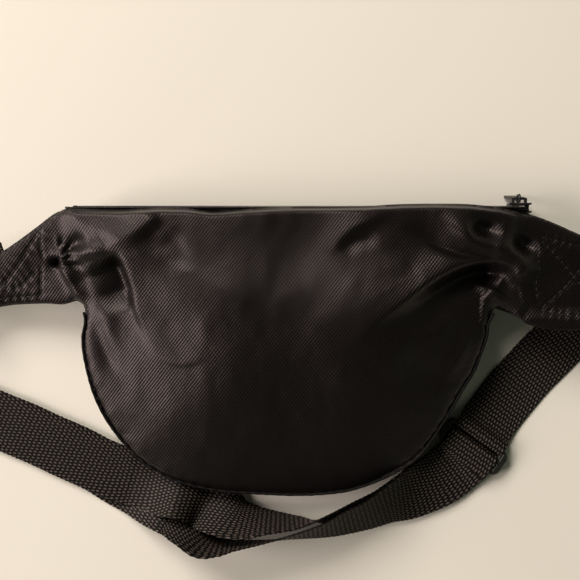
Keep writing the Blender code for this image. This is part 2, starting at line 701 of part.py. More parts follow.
def left_belt():
    """The short strap: from inside the wing over and round the socket's bar, and back under itself."""
    bar_at = SOCKET_LENGTH - BUCKLE_BAR / 2
    slot_at = SOCKET_LENGTH - BUCKLE_BAR - 1.1
    over, under = BUCKLE_MIDDLE_Z + 2.75, BUCKLE_MIDDLE_Z - 2.75
    loop = line_from(BUCKLE_AT, BUCKLE_HEADING, [
        (bar_at + 5.6, over + 1.0), (bar_at + 2.4, over + 0.1), (bar_at, over), (slot_at + 0.7, over - 0.2),
        (slot_at, over - 1.6), (slot_at, under + 1.6), (slot_at + 0.7, under + 0.2), (bar_at, under),
        (bar_at + 3.5, under + 0.5), (bar_at + 7.5, under + 2.8), (bar_at + 10.0, under + 4.9)], 0)
    ribbon("left_webbing", smooth_route(LEFT_RUN_ROUTE, 3) + loop, webbing_material())


# -------------------------------------------------------------------------------------------- hardware

def tri_glide():
    """A flat slide with two slots and a centre bar, its X axis along the belt."""
    frame = empty("tri_glide_frame", (*TRI_GLIDE_AT, TRI_GLIDE_Z), TRI_GLIDE_HEADING)
    half_w, half_l = TRI_GLIDE_WIDTH / 2, TRI_GLIDE_LENGTH / 2
    slot_out = half_w - TRI_GLIDE_BAR
    slot_in = TRI_GLIDE_BAR / 2
    slot_half = WEBBING_WIDTH / 2 + 0.8
    body = box("tri_glide", (-half_w, -half_l, -1.2), (half_w, half_l, 1.2), plastic(), parent=frame)
    corner = body.modifiers.new("rounded ends", "BEVEL")
    corner.width = mm(3.5)
    corner.segments = 4
    corner.limit_method = "ANGLE"
    corner.affect = "EDGES"
    for side, label in ((-1, "wing"), (1, "buckle")):
        low, high = sorted((side * slot_in, side * slot_out))
        slot = box(f"slot_{label}", (low, -slot_half, -4), (high, slot_half, 4), plastic(), parent=frame)
        boolean(body, slot, "DIFFERENCE")


def buckle_plug(frame):
    """The half on the adjustable belt: a base with a webbing bar, and a tongue that guides it in."""
    low, high = -PLUG_HALF_HEIGHT, PLUG_HALF_HEIGHT
    base = box("buckle_plug", (-PLUG_LENGTH, -BUCKLE_HALF_WIDTH + 0.5, low),
               (0.0, BUCKLE_HALF_WIDTH - 0.5, high), plastic(), parent=frame, bevel=1.0)
    slot = box("plug_slot", (-PLUG_LENGTH + BUCKLE_BAR, -WEBBING_WIDTH / 2 - 0.8, -9),
               (-PLUG_LENGTH + BUCKLE_BAR + BUCKLE_SLOT, WEBBING_WIDTH / 2 + 0.8, 9), plastic(),
               parent=frame)
    thin = box("bar_relief", (-PLUG_LENGTH - 1, -WEBBING_WIDTH / 2 - 0.8, 1.5),
               (-PLUG_LENGTH + BUCKLE_BAR + 1, WEBBING_WIDTH / 2 + 0.8, 9), plastic(), parent=frame)
    thin_low = box("bar_relief_under", (-PLUG_LENGTH - 1, -WEBBING_WIDTH / 2 - 0.8, -9),
                   (-PLUG_LENGTH + BUCKLE_BAR + 1, WEBBING_WIDTH / 2 + 0.8, -1.5), plastic(), parent=frame)
    tongue = box("plug_tongue", (-1.0, -3.2, -1.5), (SOCKET_LENGTH - 12.0, 3.2, 1.5), plastic(),
                 parent=frame)
    for cutter in (slot, thin, thin_low):
        boolean(base, cutter, "DIFFERENCE")
    boolean(base, tongue, "UNION")


def buckle_arms(frame):
    """The two springy arms, each pressed inwards by its button; the outline is of one arm."""
    along, out = ARM_PIVOT
    outline = [(0.0, -1.8), (ARM_LENGTH - 4.0, 0.8), (ARM_LENGTH - 1.0, 2.4), (ARM_LENGTH, 4.6),
               (ARM_LENGTH - 1.5, 6.2), (ARM_LENGTH - 5.0, 6.6), (10.0, 6.4), (8.4, 5.2), (7.6, 2.6),
               (0.0, 1.8)]
    for side, label in ((-1, "near"), (1, "far")):
        curve = bpy.data.curves.new(f"buckle_arm_{label}", "CURVE")
        curve.dimensions = "2D"
        curve.fill_mode = "BOTH"
        curve.extrude = mm(2.0)
        curve.resolution_u = curve.render_resolution_u = 1
        spline = curve.splines.new("POLY")
        spline.points.add(len(outline) - 1)
        for point, (u, v) in zip(spline.points, outline):
            point.co = (mm(u), mm(v * side), 0.0, 1.0)
        spline.use_cyclic_u = True
        arm = keep(bpy.data.objects.new(f"buckle_arm_{label}", curve), plastic(), frame)
        arm.location = mm(along, out * side, 0.0)


def buckle_socket(frame):
    """The half on the left wing's strap: a flat box, open at its mouth and at both buttons."""
    w, h, wall = BUCKLE_HALF_WIDTH, BUCKLE_HALF_HEIGHT, BUCKLE_WALL
    shell = box("buckle_socket", (GAP, -w, -h), (SOCKET_LENGTH, w, h), plastic(), parent=frame, bevel=1.6)
    cavity_end = SOCKET_LENGTH - BUCKLE_BAR - BUCKLE_SLOT - 1.8
    cavity = box("socket_cavity", (-3.0, -w + wall, -h + wall), (cavity_end, w - wall, h - wall), plastic(),
                 parent=frame)
    windows = box("socket_windows", (9.5, -w - 4, -h + wall - 0.2),
                  (cavity_end - 0.6, w + 4, h - wall + 0.2), plastic(), parent=frame)
    slot_half = WEBBING_WIDTH / 2 + 0.8
    bar_start = SOCKET_LENGTH - BUCKLE_BAR
    slot = box("socket_slot", (bar_start - BUCKLE_SLOT, -slot_half, -9), (bar_start, slot_half, 9),
               plastic(), parent=frame)
    for cutter in (cavity, windows, slot):
        boolean(shell, cutter, "DIFFERENCE")
    for side, label in ((-1, "under"), (1, "over")):
        low, high = sorted((side * 1.5, side * 9.0))
        relief = box(f"socket_relief_{label}", (bar_start - 1, -slot_half, low),
                     (SOCKET_LENGTH + 3, slot_half, high), plastic(), parent=frame)
        boolean(shell, relief, "DIFFERENCE")


def buckle():
    frame = empty("buckle_frame", (*BUCKLE_AT, BUCKLE_MIDDLE_Z), BUCKLE_HEADING)
    buckle_plug(frame)
    buckle_arms(frame)
    buckle_socket(frame)


def main():
    back_panel()
    front_panel()
    side_gusset()
    top_panels()
    seam_piping()
    pocket_panel()
    pocket_zip()
    pocket_pull()
    main_zip()
    main_pull(main_slider())
    wings()
    belt()
    left_belt()
    tri_glide()
    buckle()


main()
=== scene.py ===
"""Waist pack lying on its front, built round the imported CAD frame. Metres, +Z up; lengths in the
tables are millimetres."""

import json
import math

import bpy
import numpy as np
from mathutils import Matrix, Vector
from mathutils.geometry import delaunay_2d_cdt


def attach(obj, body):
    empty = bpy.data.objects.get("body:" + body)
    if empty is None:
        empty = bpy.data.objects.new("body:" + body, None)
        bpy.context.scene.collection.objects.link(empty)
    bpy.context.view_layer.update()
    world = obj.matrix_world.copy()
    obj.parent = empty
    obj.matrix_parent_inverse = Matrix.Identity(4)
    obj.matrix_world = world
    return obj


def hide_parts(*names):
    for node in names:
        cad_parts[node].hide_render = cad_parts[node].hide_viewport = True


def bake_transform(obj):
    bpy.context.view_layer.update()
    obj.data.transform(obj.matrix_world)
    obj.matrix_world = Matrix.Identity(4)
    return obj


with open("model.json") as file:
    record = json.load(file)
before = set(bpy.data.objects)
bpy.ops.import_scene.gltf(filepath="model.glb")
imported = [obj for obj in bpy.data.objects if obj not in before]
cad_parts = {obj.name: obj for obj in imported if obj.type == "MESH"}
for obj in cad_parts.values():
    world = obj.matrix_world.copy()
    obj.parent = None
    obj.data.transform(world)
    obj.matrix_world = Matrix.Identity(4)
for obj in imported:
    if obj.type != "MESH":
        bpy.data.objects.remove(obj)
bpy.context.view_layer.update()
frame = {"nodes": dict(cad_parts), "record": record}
NODES = frame["nodes"]
MM = 0.001

# ------------------------------------------------------------------------------------ shared sizes
WEBBING_WIDTH = 32.0
WEBBING = 1.3
LAYER_STEP = WEBBING + 0.5
LAYERS_OPEN = 2.2
TRI_GLIDE_AT = (104.0, -55.0)
TRI_GLIDE_HEADING = 235.0
TRI_GLIDE_Z = 4.7
BUCKLE_AT = (-240.0, 21.5)
BUCKLE_HEADING = 10.0
BUCKLE_Z = 5.5
SOCKET_LENGTH = 31.0
PLUG_LENGTH = 17.0
BUCKLE_BAR = 3.0
BUCKLE_WRAP = 2.75       # from the bar's middle to the webbing's, above and below it
GLIDE_OVER, GLIDE_UNDER = 2.15, 2.1     # the same at the tri-glide
CAMERA_HEIGHT = 0.60     # metres
HALF_VIEW = 166.286      # half the width seen at the floor


# ------------------------------------------------------------------------------------ camera, stage
def look():
    camera = bpy.data.objects.new("camera", bpy.data.cameras.new("camera"))
    bpy.context.scene.collection.objects.link(camera)
    camera.location = (0.0, 0.0336, CAMERA_HEIGHT)
    camera.data.sensor_width = 36.0
    camera.data.lens = camera.data.sensor_width / 2 * CAMERA_HEIGHT / (HALF_VIEW * MM)
    camera.data.clip_start, camera.data.clip_end = 0.01, 10.0
    bpy.context.scene.camera = camera

    floor = grid_object("floor", [[Vector((x, y, 0)) for x in np.linspace(-3, 3, 13)]
                                  for y in np.linspace(-3, 3, 13)], floor_material())

    world = bpy.data.worlds.new("room")
    bpy.context.scene.world = world
    world.use_nodes = True
    tree = world.node_tree
    sky = tree.nodes["Background"]
    sky.inputs["Strength"].default_value = 1.0
    # light walls and a dark ceiling
    split = tree.nodes.new("ShaderNodeSeparateXYZ")
    tree.links.new(tree.nodes.new("ShaderNodeTexCoord").outputs["Generated"], split.inputs[0])
    walls = tree.nodes.new("ShaderNodeValToRGB")
    walls.color_ramp.elements[0].position, walls.color_ramp.elements[1].position = 0.55, 0.82
    walls.color_ramp.elements[0].color = (0.15, 0.17, 0.125, 1.0)
    walls.color_ramp.elements[1].color = (0.012, 0.013, 0.010, 1.0)
    tree.links.new(split.outputs["Z"], walls.inputs["Fac"])
    tree.links.new(walls.outputs["Color"], sky.inputs["Color"])

    area_light("window", (-2.42, -0.28, 1.30), (0.0, -0.01, 0.0), 1.6, 76.5, (1.0, 0.88, 0.80))
    area_light("lamp", (-1.26, 1.81, 1.72), (0.0, 0.02, 0.0), 1.4, 71.0, (1.0, 0.92, 0.80))
    bpy.context.scene.view_settings.view_transform = "Standard"
    bpy.context.scene.view_settings.look = "None"


def area_light(name, at, towards, size, power, colour):
    data = bpy.data.lights.new(name, "AREA")
    data.size, data.energy, data.color = size, power, colour
    light = bpy.data.objects.new(name, data)
    light.location = at
    light.rotation_euler = (Vector(towards) - Vector(at)).to_track_quat("-Z", "Y").to_euler()
    bpy.context.scene.collection.objects.link(light)


# ---------------------------------------------------------------------------------------- materials
class Nodes:
    """Small helper for building node trees."""

    def __init__(self, name):
        self.material = bpy.data.materials.new(name)
        self.material.use_nodes = True
        self.tree = self.material.node_tree
        self.shader = self.tree.nodes["Principled BSDF"]

    def new(self, kind, **settings):
        node = self.tree.nodes.new(kind)
        for key, value in settings.items():
            setattr(node, key, value)
        return node

    def link(self, a, b):
        self.tree.links.new(a, b)

    def feed(self, socket, value):
        if isinstance(value, bpy.types.NodeSocket):
            self.link(value, socket)
        else:
            socket.default_value = value

    def math(self, operation, a, b=0.0, c=0.0):
        node = self.new("ShaderNodeMath", operation=operation)
        for socket, value in zip(node.inputs, (a, b, c)):
            self.feed(socket, value)
        return node.outputs[0]

    def mix(self, share, a, b):
        node = self.new("ShaderNodeMix", data_type="RGBA")
        self.feed(node.inputs["Factor"], share)
        self.feed(node.inputs["A"], a)
        self.feed(node.inputs["B"], b)
        return node.outputs["Result"]

    def ramp(self, value, *stops):
        node = self.new("ShaderNodeValToRGB")
        while len(node.color_ramp.elements) < len(stops):
            node.color_ramp.elements.new(0.5)
        for element, (at, level) in zip(node.color_ramp.elements, stops):
            element.position = at
            element.color = (level, level, level, 1) if isinstance(level, float) else (*level, 1)
        self.feed(node.inputs["Fac"], value)
        return node.outputs["Color"]

    def noise(self, vector, scale, detail=2.0):
        node = self.new("ShaderNodeTexNoise")
        node.inputs["Scale"].default_value = scale
        node.inputs["Detail"].default_value = detail
        self.link(vector, node.inputs["Vector"])
        return node.outputs["Fac"]

    def place(self, kind="Object"):
        return self.new("ShaderNodeTexCoord").outputs[kind]

    def bump(self, height, distance, strength=1.0, under=None):
        node = self.new("ShaderNodeBump")
        node.inputs["Distance"].default_value = distance
        node.inputs["Strength"].default_value = strength
        self.link(height, node.inputs["Height"])
        if under is not None:
            self.link(under, node.inputs["Normal"])
        return node.outputs["Normal"]

    def surface(self, colour, roughness, normal=None, specular=0.5, tint=(1.0, 1.0, 1.0)):
        self.feed(self.shader.inputs["Base Color"], colour)
        self.feed(self.shader.inputs["Roughness"], roughness)
        self.shader.inputs["Specular IOR Level"].default_value = specular
        self.shader.inputs["Specular Tint"].default_value = (*tint, 1.0)
        if normal is not None:
            self.link(normal, self.shader.inputs["Normal"])
        return self.material


def floor_material():
    n = Nodes("pale_table")
    place = n.place()
    colour = n.mix(n.noise(place, 3.0), (0.80, 0.765, 0.71, 1), (0.82, 0.785, 0.73, 1))
    return n.surface(colour, 0.55, specular=0.25)


WEAVE_ACROSS = 1.8      # the webbing: between neighbouring floats, in millimetres
WEAVE_ALONG = 2.6       # and between rows of floats
TWILL = 1.4             # the nylon: between neighbouring slanting threads
TWILL_SLANT = math.radians(52)


def diagonal_weave(n, along, up):
    """0 to 1: a twill's slanting threads, crossed by fainter ones. along and up are the cloth's plane."""
    waves = []
    for sign, size in ((-1, TWILL * MM), (1, TWILL * MM * 1.2)):
        phase = n.math("ADD", n.math("MULTIPLY", along, math.sin(TWILL_SLANT)),
                       n.math("MULTIPLY", up, sign * math.cos(TWILL_SLANT)))
        waves.append(n.math("SINE", n.math("MULTIPLY", phase, 2 * math.pi / size)))
    both = n.math("MULTIPLY_ADD", waves[0], 0.36, n.math("MULTIPLY", waves[1], 0.14))
    return n.math("ADD", both, 0.5)


def nylon_material(upright=False):
    """Satin black nylon in a diagonal twill, for the cloth that lies flat or for the walls."""
    n = Nodes("black_nylon_walls" if upright else "black_nylon")
    place = n.place()
    split = n.new("ShaderNodeSeparateXYZ")
    n.link(place, split.inputs[0])
    x, y, z = split.outputs
    weave = diagonal_weave(n, n.math("ADD", x, y), z) if upright else diagonal_weave(n, x, y)
    worn = n.noise(place, 24.0, 5.0)
    fine = n.noise(place, 900.0, 2.0)
    level = n.math("MULTIPLY_ADD", fine, 0.30, n.math("MULTIPLY", weave, 0.9))
    colour = n.ramp(level, (0.58, (0.0001, 0.0001, 0.0001)), (0.98, (0.0120, 0.0088, 0.0094)))
    rough = n.math("MULTIPLY_ADD", worn, 0.05, n.math("MULTIPLY_ADD", weave, -0.06, 0.40))
    normal = n.bump(weave, 0.00013, 1.0)
    normal = n.bump(n.noise(place, 90.0, 4.0), 0.0004, 0.25, under=normal)
    return n.surface(colour, rough, normal, specular=0.37, tint=(1.0, 0.84, 0.86))


def webbing_material():
    """Black webbing. UV is millimetres across and along / 100; the floats lie as in weave_relief()."""
    n = Nodes("black_webbing")
    split = n.new("ShaderNodeSeparateXYZ")
    n.link(n.place("UV"), split.inputs[0])
    across = n.math("MULTIPLY", split.outputs[0], 100.0)
    along = n.math("MULTIPLY", split.outputs[1], 100.0)
    row = n.math("MULTIPLY_ADD", n.math("SINE", n.math("MULTIPLY", across, 1.3)), 0.10,
                 n.math("DIVIDE", along, WEAVE_ALONG))
    stagger = n.math("MULTIPLY", n.math("FLOORED_MODULO", n.math("FLOOR", row), 2.0), 0.5)
    float_along = n.math("ABSOLUTE", n.math("SINE", n.math("MULTIPLY", row, math.pi)))
    turn = n.math("ADD", n.math("DIVIDE", across, WEAVE_ACROSS), stagger)
    float_across = n.math("MULTIPLY_ADD", n.math("COSINE", n.math("MULTIPLY", turn, 2 * math.pi)), 0.5, 0.5)
    floats = n.math("MULTIPLY", float_along, float_across)
    yarn = n.math("MULTIPLY_ADD", n.math("SINE", n.math("MULTIPLY", across, 2 * math.pi / 0.42)), 0.5, 0.5)
    fine = n.noise(n.place("UV"), 700.0, 2.0)
    grain = n.math("MULTIPLY_ADD", fine, 0.7, n.math("MULTIPLY_ADD", yarn, 0.2, 0.4))
    level = n.math("MULTIPLY", floats, grain)
    colour = n.ramp(level, (0.26, (0.0003, 0.0003, 0.0003)), (0.72, (0.1050, 0.0830, 0.0730)))
    normal = n.bump(n.math("ADD", floats, n.math("MULTIPLY", yarn, 0.25)), 0.0003, 0.8)
    return n.surface(colour, n.math("MULTIPLY_ADD", floats, -0.20, 0.66), normal, specular=0.14)


def plastic_material():
    n = Nodes("black_plastic")
    place = n.place()
    fine = n.noise(place, 1400.0, 3.0)
    wear = n.noise(place, 60.0, 4.0)
    colour = n.mix(wear, (0.010, 0.010, 0.009, 1), (0.018, 0.018, 0.016, 1))
    return n.surface(colour, n.math("MULTIPLY_ADD", wear, 0.15, 0.26), n.bump(fine, 0.00005, 0.5),
                     specular=0.5)


def enamel_material():
    n = Nodes("black_enamel")
    wear = n.noise(n.place(), 300.0, 4.0)
    colour = n.mix(n.ramp(wear, (0.55, 0.0), (0.8, 1.0)), (0.012, 0.012, 0.013, 1), (0.05, 0.048, 0.046, 1))
    return n.surface(colour, n.math("MULTIPLY_ADD", wear, 0.2, 0.38), n.bump(wear, 0.00004, 0.4),
                     specular=0.35)


def tape_material():
    n = Nodes("black_zip_tape")
    place = n.place()
    split = n.new("ShaderNodeSeparateXYZ")
    n.link(place, split.inputs[0])
    rib = n.math("SINE", n.math("MULTIPLY", split.outputs[0], 2 * math.pi / (0.8 * MM)))
    row = n.math("SINE", n.math("MULTIPLY", n.math("ADD", split.outputs[2], split.outputs[1]),
                                2 * math.pi / (0.7 * MM)))
    height = n.math("MULTIPLY_ADD", n.math("MULTIPLY", rib, row), 0.5, 0.5)
    colour = n.mix(height, (0.008, 0.008, 0.008, 1), (0.028, 0.026, 0.026, 1))
    return n.surface(colour, 0.6, n.bump(height, 0.00015, 0.8), specular=0.4)


def fibre_material(name, scale, detail, dark, light, roughness, specular):
    """The seams' folded tape, which is duller than the nylon, or sewing thread."""
    n = Nodes(name)
    fibres = n.noise(n.place(), scale, detail)
    return n.surface(n.mix(fibres, dark, light), roughness, n.bump(fibres, 0.0001, 0.6), specular)


# ------------------------------------------------------------------------------------ mesh helpers
def link_mesh(name, verts, faces, material, uvs=None):
    data = bpy.data.meshes.new(name)
    data.from_pydata([tuple(v) for v in verts], [], [tuple(f) for f in faces])
    data.update()
    if uvs is not None:
        layer = data.uv_layers.new(name="UVMap")
        loops = np.zeros(len(data.loops), np.int32)
        data.loops.foreach_get("vertex_index", loops)
        layer.data.foreach_set("uv", np.asarray(uvs, np.float32)[loops].ravel())
    data.shade_smooth()
    made = bpy.data.objects.new(name, data)
    bpy.context.scene.collection.objects.link(made)
    made.data.materials.append(material)
    return made


def grid_object(name, rows, material):
    """A sheet from rows of points."""
    width = len(rows[0])
    verts = [tuple(p) for row in rows for p in row]
    faces = []
    for i in range(len(rows) - 1):
        for j in range(width - 1):
            corner = i * width + j
            faces.append((corner, corner + 1, corner + width + 1, corner + width))
    return link_mesh(name, verts, faces, material)


def tube_faces(rings, around):
    """Faces through rings of points, one ring after the other, and over both ends."""
    i, j = np.meshgrid(np.arange(rings - 1), np.arange(around), indexing="ij")
    n = (j + 1) % around
    faces = np.stack([i * around + j, i * around + n, (i + 1) * around + n, (i + 1) * around + j], -1)
    first, last = list(range(around)), list(range((rings - 1) * around, rings * around))
    return faces.reshape(-1, 4).tolist() + [first[::-1], last]


def smooth_route(route, per_span):
    """Points on a Catmull-Rom curve through the route."""
    route = [np.array(p, float) for p in route]
    count = len(route)
    out = []
    for i in range(count - 1):
        a, b, c, d = route[max(i - 1, 0)], route[i], route[i + 1], route[min(i + 2, count - 1)]
        for k in range(per_span):
            t = k / per_span
            out.append(0.5 * (2 * b + (c - a) * t + (2 * a - 5 * b + 4 * c - d) * t * t
                              + (3 * b - a - 3 * c + d) * t ** 3))
    out.append(route[-1])
    return np.array(out)


def closed(outline):
    """The outline with its first point again at its end."""
    return np.vstack([outline, outline[:1]])


def lengths_along(points):
    """How far along the line each of its points is."""
    return np.r_[0, np.cumsum(np.linalg.norm(np.diff(points, axis=0), axis=1))]


def resample(points, step):
    """The same line at even steps."""
    points = np.array(points, float)
    lengths = lengths_along(points)
    count = max(2, int(round(lengths[-1] / step)))
    at = np.linspace(0, lengths[-1], count + 1)
    return np.stack([np.interp(at, lengths, points[:, k]) for k in range(points.shape[1])], 1)


def thicken(item, thickness, offset=-1.0):
    """Gives a sheet its thickness: behind its face at offset -1, or half on either side of it at 0."""
    modifier = item.modifiers.new("thickness", "SOLIDIFY")
    modifier.thickness = thickness * MM
    modifier.offset = offset
    depsgraph = bpy.context.evaluated_depsgraph_get()
    data = bpy.data.meshes.new_from_object(item.evaluated_get(depsgraph))
    item.modifiers.clear()
    item.data = data


def segment_distance(points, line):
    """Distance from each point to the line, how far along it the nearest place is (0 to 1), and the side."""
    best = np.full(len(points), 1e9)
    along = np.zeros(len(points))
    side = np.zeros(len(points))
    lengths = lengths_along(line)
    for i in range(len(line) - 1):
        a, b = line[i], line[i + 1]
        d = b - a
        t = np.clip(((points - a) @ d) / (d @ d), 0, 1)
        nearest = a + t[:, None] * d
        gap = points - nearest
        dist = np.hypot(gap[:, 0], gap[:, 1])
        closer = dist < best
        best = np.where(closer, dist, best)
        along = np.where(closer, (lengths[i] + t * (lengths[i + 1] - lengths[i])) / lengths[-1], along)
        side = np.where(closer, np.sign(d[0] * gap[:, 1] - d[1] * gap[:, 0]), side)
    return best, along, side


def rim_gap(points, outline):
    """Distance from each point to the nearest place on a closed outline."""
    return segment_distance(points, closed(outline))[0]


def smoothstep(low, high, x):
    t = np.clip((x - low) / (high - low), 0, 1)
    return t * t * (3 - 2 * t)


def stroke(points, line, height, left, right, fade):
    """A ridge (or, with a negative height, a valley) along a line. left and right are its widths on
    either side, in the line's direction, and fade is the share of its length that each end tapers over."""
    dist, along, side = segment_distance(points, smooth_route(line, 6))
    width = np.where(side > 0, left, right)
    # the broad side of a fold runs straight into it, and the narrow side rounds over
    power = np.where(width > 7.5, 1.35, 2.0)
    shape = np.exp(-(dist / width) ** power)
    taper = smoothstep(-0.02, fade[0], along) * smoothstep(-0.02, fade[1], 1 - along)
    return height * shape * taper


def value_noise(points, size, seed):
    """Smooth noise from -1 to 1 with features of that size in millimetres."""
    table = np.random.default_rng(seed).uniform(-1, 1, (64, 64))
    p = points / size + 200.0
    i = np.floor(p).astype(int)
    f = p - i
    f = f * f * (3 - 2 * f)
    a = table[i[:, 0] % 64, i[:, 1] % 64]
    b = table[(i[:, 0] + 1) % 64, i[:, 1] % 64]
    c = table[i[:, 0] % 64, (i[:, 1] + 1) % 64]
    d = table[(i[:, 0] + 1) % 64, (i[:, 1] + 1) % 64]
    return (a * (1 - f[:, 0]) + b * f[:, 0]) * (1 - f[:, 1]) + (c * (1 - f[:, 0]) + d * f[:, 0]) * f[:, 1]


def inside(points, polygon):
    """Which of the points are within the polygon."""
    result = np.zeros(len(points), bool)
    for (x0, y0), (x1, y1) in zip(polygon, np.roll(polygon, -1, axis=0)):
        crosses = (y0 > points[:, 1]) != (y1 > points[:, 1])
        at = (x1 - x0) * (points[:, 1] - y0) / (y1 - y0 + 1e-12) + x0
        result ^= crosses & (points[:, 0] < at)
    return result


def fill_outline(outline, step):
    """An even triangle mesh inside an outline: 2D points and faces."""
    low, high = outline.min(0), outline.max(0)
    ys = np.arange(low[1], high[1], step * 0.866)
    grid = np.array([(x + (step / 2 if k % 2 else 0), y)
                     for k, y in enumerate(ys) for x in np.arange(low[0], high[0], step)])
    grid = grid[inside(grid, outline)]
    grid = grid[rim_gap(grid, outline) > step * 0.62]
    points = np.vstack([outline, grid])
    made = delaunay_2d_cdt([Vector(p) for p in points], [], [list(range(len(outline)))], 1, 1e-6)
    verts = np.array([tuple(v) for v in made[0]])
    return verts, [tuple(f) for f in made[2]]


# ------------------------------------------------------------------------------ the pack's outlines
# Seen from above, millimetres. The back's outline runs anticlockwise from the left wing's tip.
LEFT_WING_LOW = [(-191, 15.5), (-181, 19.0), (-170, 22.6), (-158, 25.0), (-146, 26.0), (-134, 26.3),
                 (-126, 25.9), (-118, 27.8), (-114.6, 26.0)]
BODY_ROUND = [(-113.4, 24.2), (-112.2, 16.0), (-113.8, 8.0), (-113.2, -3.0), (-109.6, -19.8),
              (-104.8, -32.4), (-98.4, -43.4), (-89.5, -54.6), (-79.4, -64.0), (-66.0, -71.6),
              (-52.0, -76.0), (-37.5, -78.6), (-15.0, -80.2), (6.7, -80.8), (28.0, -79.2),
              (44.2, -74.8), (59.8, -67.4), (72.5, -58.2), (85.6, -39.0), (95.8, -20.6),
              (101.4, -11.2), (104.8, -2.0), (108.2, 8.6), (108.6, 14.5), (111.6, 21.5)]
RIGHT_WING_LOW = [(115.2, 23.4), (125.3, 19.2), (131.8, 15.0), (139, 12.8), (148, 11.8), (159, 11.7),
                  (172, 12.6), (186, 14.0), (205.5, 15.6)]
RIGHT_WING_TIP = [(205.5, 15.6), (207.2, 32.0), (209.0, 49.5)]
RIGHT_WING_TOP = [(209.0, 49.5), (190, 54.5), (172, 60.0), (158.6, 64.4), (148.2, 68.8), (138.9, 72.4),
                  (128.5, 75.6)]
BODY_TOP = [(128.5, 75.6), (122.0, 76.6), (114.0, 78.4), (98.0, 80.2), (80.0, 80.6), (60.0, 80.3),
            (40.0, 79.2), (22.0, 79.0), (3.0, 79.0), (-20.0, 78.0), (-42.0, 76.6), (-56.0, 78.2),
            (-72.0, 78.4), (-92.0, 77.4), (-112.0, 77.8), (-121.5, 77.9), (-125.5, 76.8)]
LEFT_WING_TOP = [(-125.5, 76.8), (-130, 74.2), (-140.8, 66.3), (-150, 59.8), (-159.5, 53.9), (-170, 50.2),
                 (-180, 48.0), (-194, 46.0)]
LEFT_WING_TIP = [(-194, 46.0), (-192.6, 31.0), (-191, 15.5)]
BODY_CENTRE = (12.0, 12.0)
PINCH_AT = (-128.4, 48.6)
SEAM_Z_BOTTOM, SEAM_Z_TOP = 14.0, 33.0
CROWN = 15.4                # how far the back bulges above its seam
BACK_Z_AT_ZIP = 31.1
POCKET_SEAM_Z, POCKET_DEPTH = 6.9, 6.1
BACK_CLOTH, FRONT_CLOTH = 0.9, 0.8      # thicknesses


def seam_z(y):
    """Height of the back's seam, which rises from the bottom of the pack towards its zip."""
    return SEAM_Z_BOTTOM + (SEAM_Z_TOP - SEAM_Z_BOTTOM) * (y + 80.0) / 159.0


def outline_part(*parts):
    """One line through several smooth ones, which meet at corners."""
    lines = [resample(smooth_route(part, 8), 1.3) for part in parts]
    joined = [lines[0]]
    for line in lines[1:]:
        joined.append(line[1:])
    return np.vstack(joined)


def body_side():
    """The body's own seam line, from its top left corner round the bottom to its top right corner."""
    left = [(-125.5, 76.8), (-122.5, 60.0), (-118.0, 42.0)]
    right = [(115.5, 34.0), (122.0, 55.0), (128.5, 75.6)]
    return outline_part(left + BODY_ROUND + right)


def radial_share(points, ring):
    """How far out each point is: 0 at the body's centre and 1 at its seam."""
    centre = np.array(BODY_CENTRE)
    polar = np.arctan2(ring[:, 1] - centre[1], ring[:, 0] - centre[0])
    reach = np.hypot(ring[:, 0] - centre[0], ring[:, 1] - centre[1])
    order = np.argsort(polar)
    polar, reach = polar[order], reach[order]
    polar = np.r_[polar[-1] - 2 * math.pi, polar, polar[0] + 2 * math.pi]
    reach = np.r_[reach[-1], reach, reach[0]]
    angle = np.arctan2(points[:, 1] - centre[1], points[:, 0] - centre[0])
    radius = np.hypot(points[:, 0] - centre[0], points[:, 1] - centre[1])
    return radius / np.interp(angle, polar, reach)


LEFT_WING_TIP_AT = (-190.0, 34.0)
LEFT_WING_HEADING, LEFT_WING_ROLL = math.radians(17.0), math.radians(18.0)
WING_TIP_Z = 20.0


def wing_middle_z(points, side):
    """Height of a wing's middle surface."""
    x, y = points[:, 0], points[:, 1]
    if side < 0:
        out = np.clip((-122.0 - x) / 68.0, 0, 1)
        centre = LEFT_WING_TIP_AT[1] + (x - LEFT_WING_TIP_AT[0]) * math.tan(LEFT_WING_HEADING)
        tip = WING_TIP_Z + (y - centre) * math.tan(LEFT_WING_ROLL)
    else:
        out = np.clip((x - 126.0) / 79.0, 0, 1)
        tip = np.full(len(x), WING_TIP_Z)
    root = seam_z(y) - 3.0
    ease = out ** 0.85
    return root * (1 - ease) + tip * ease


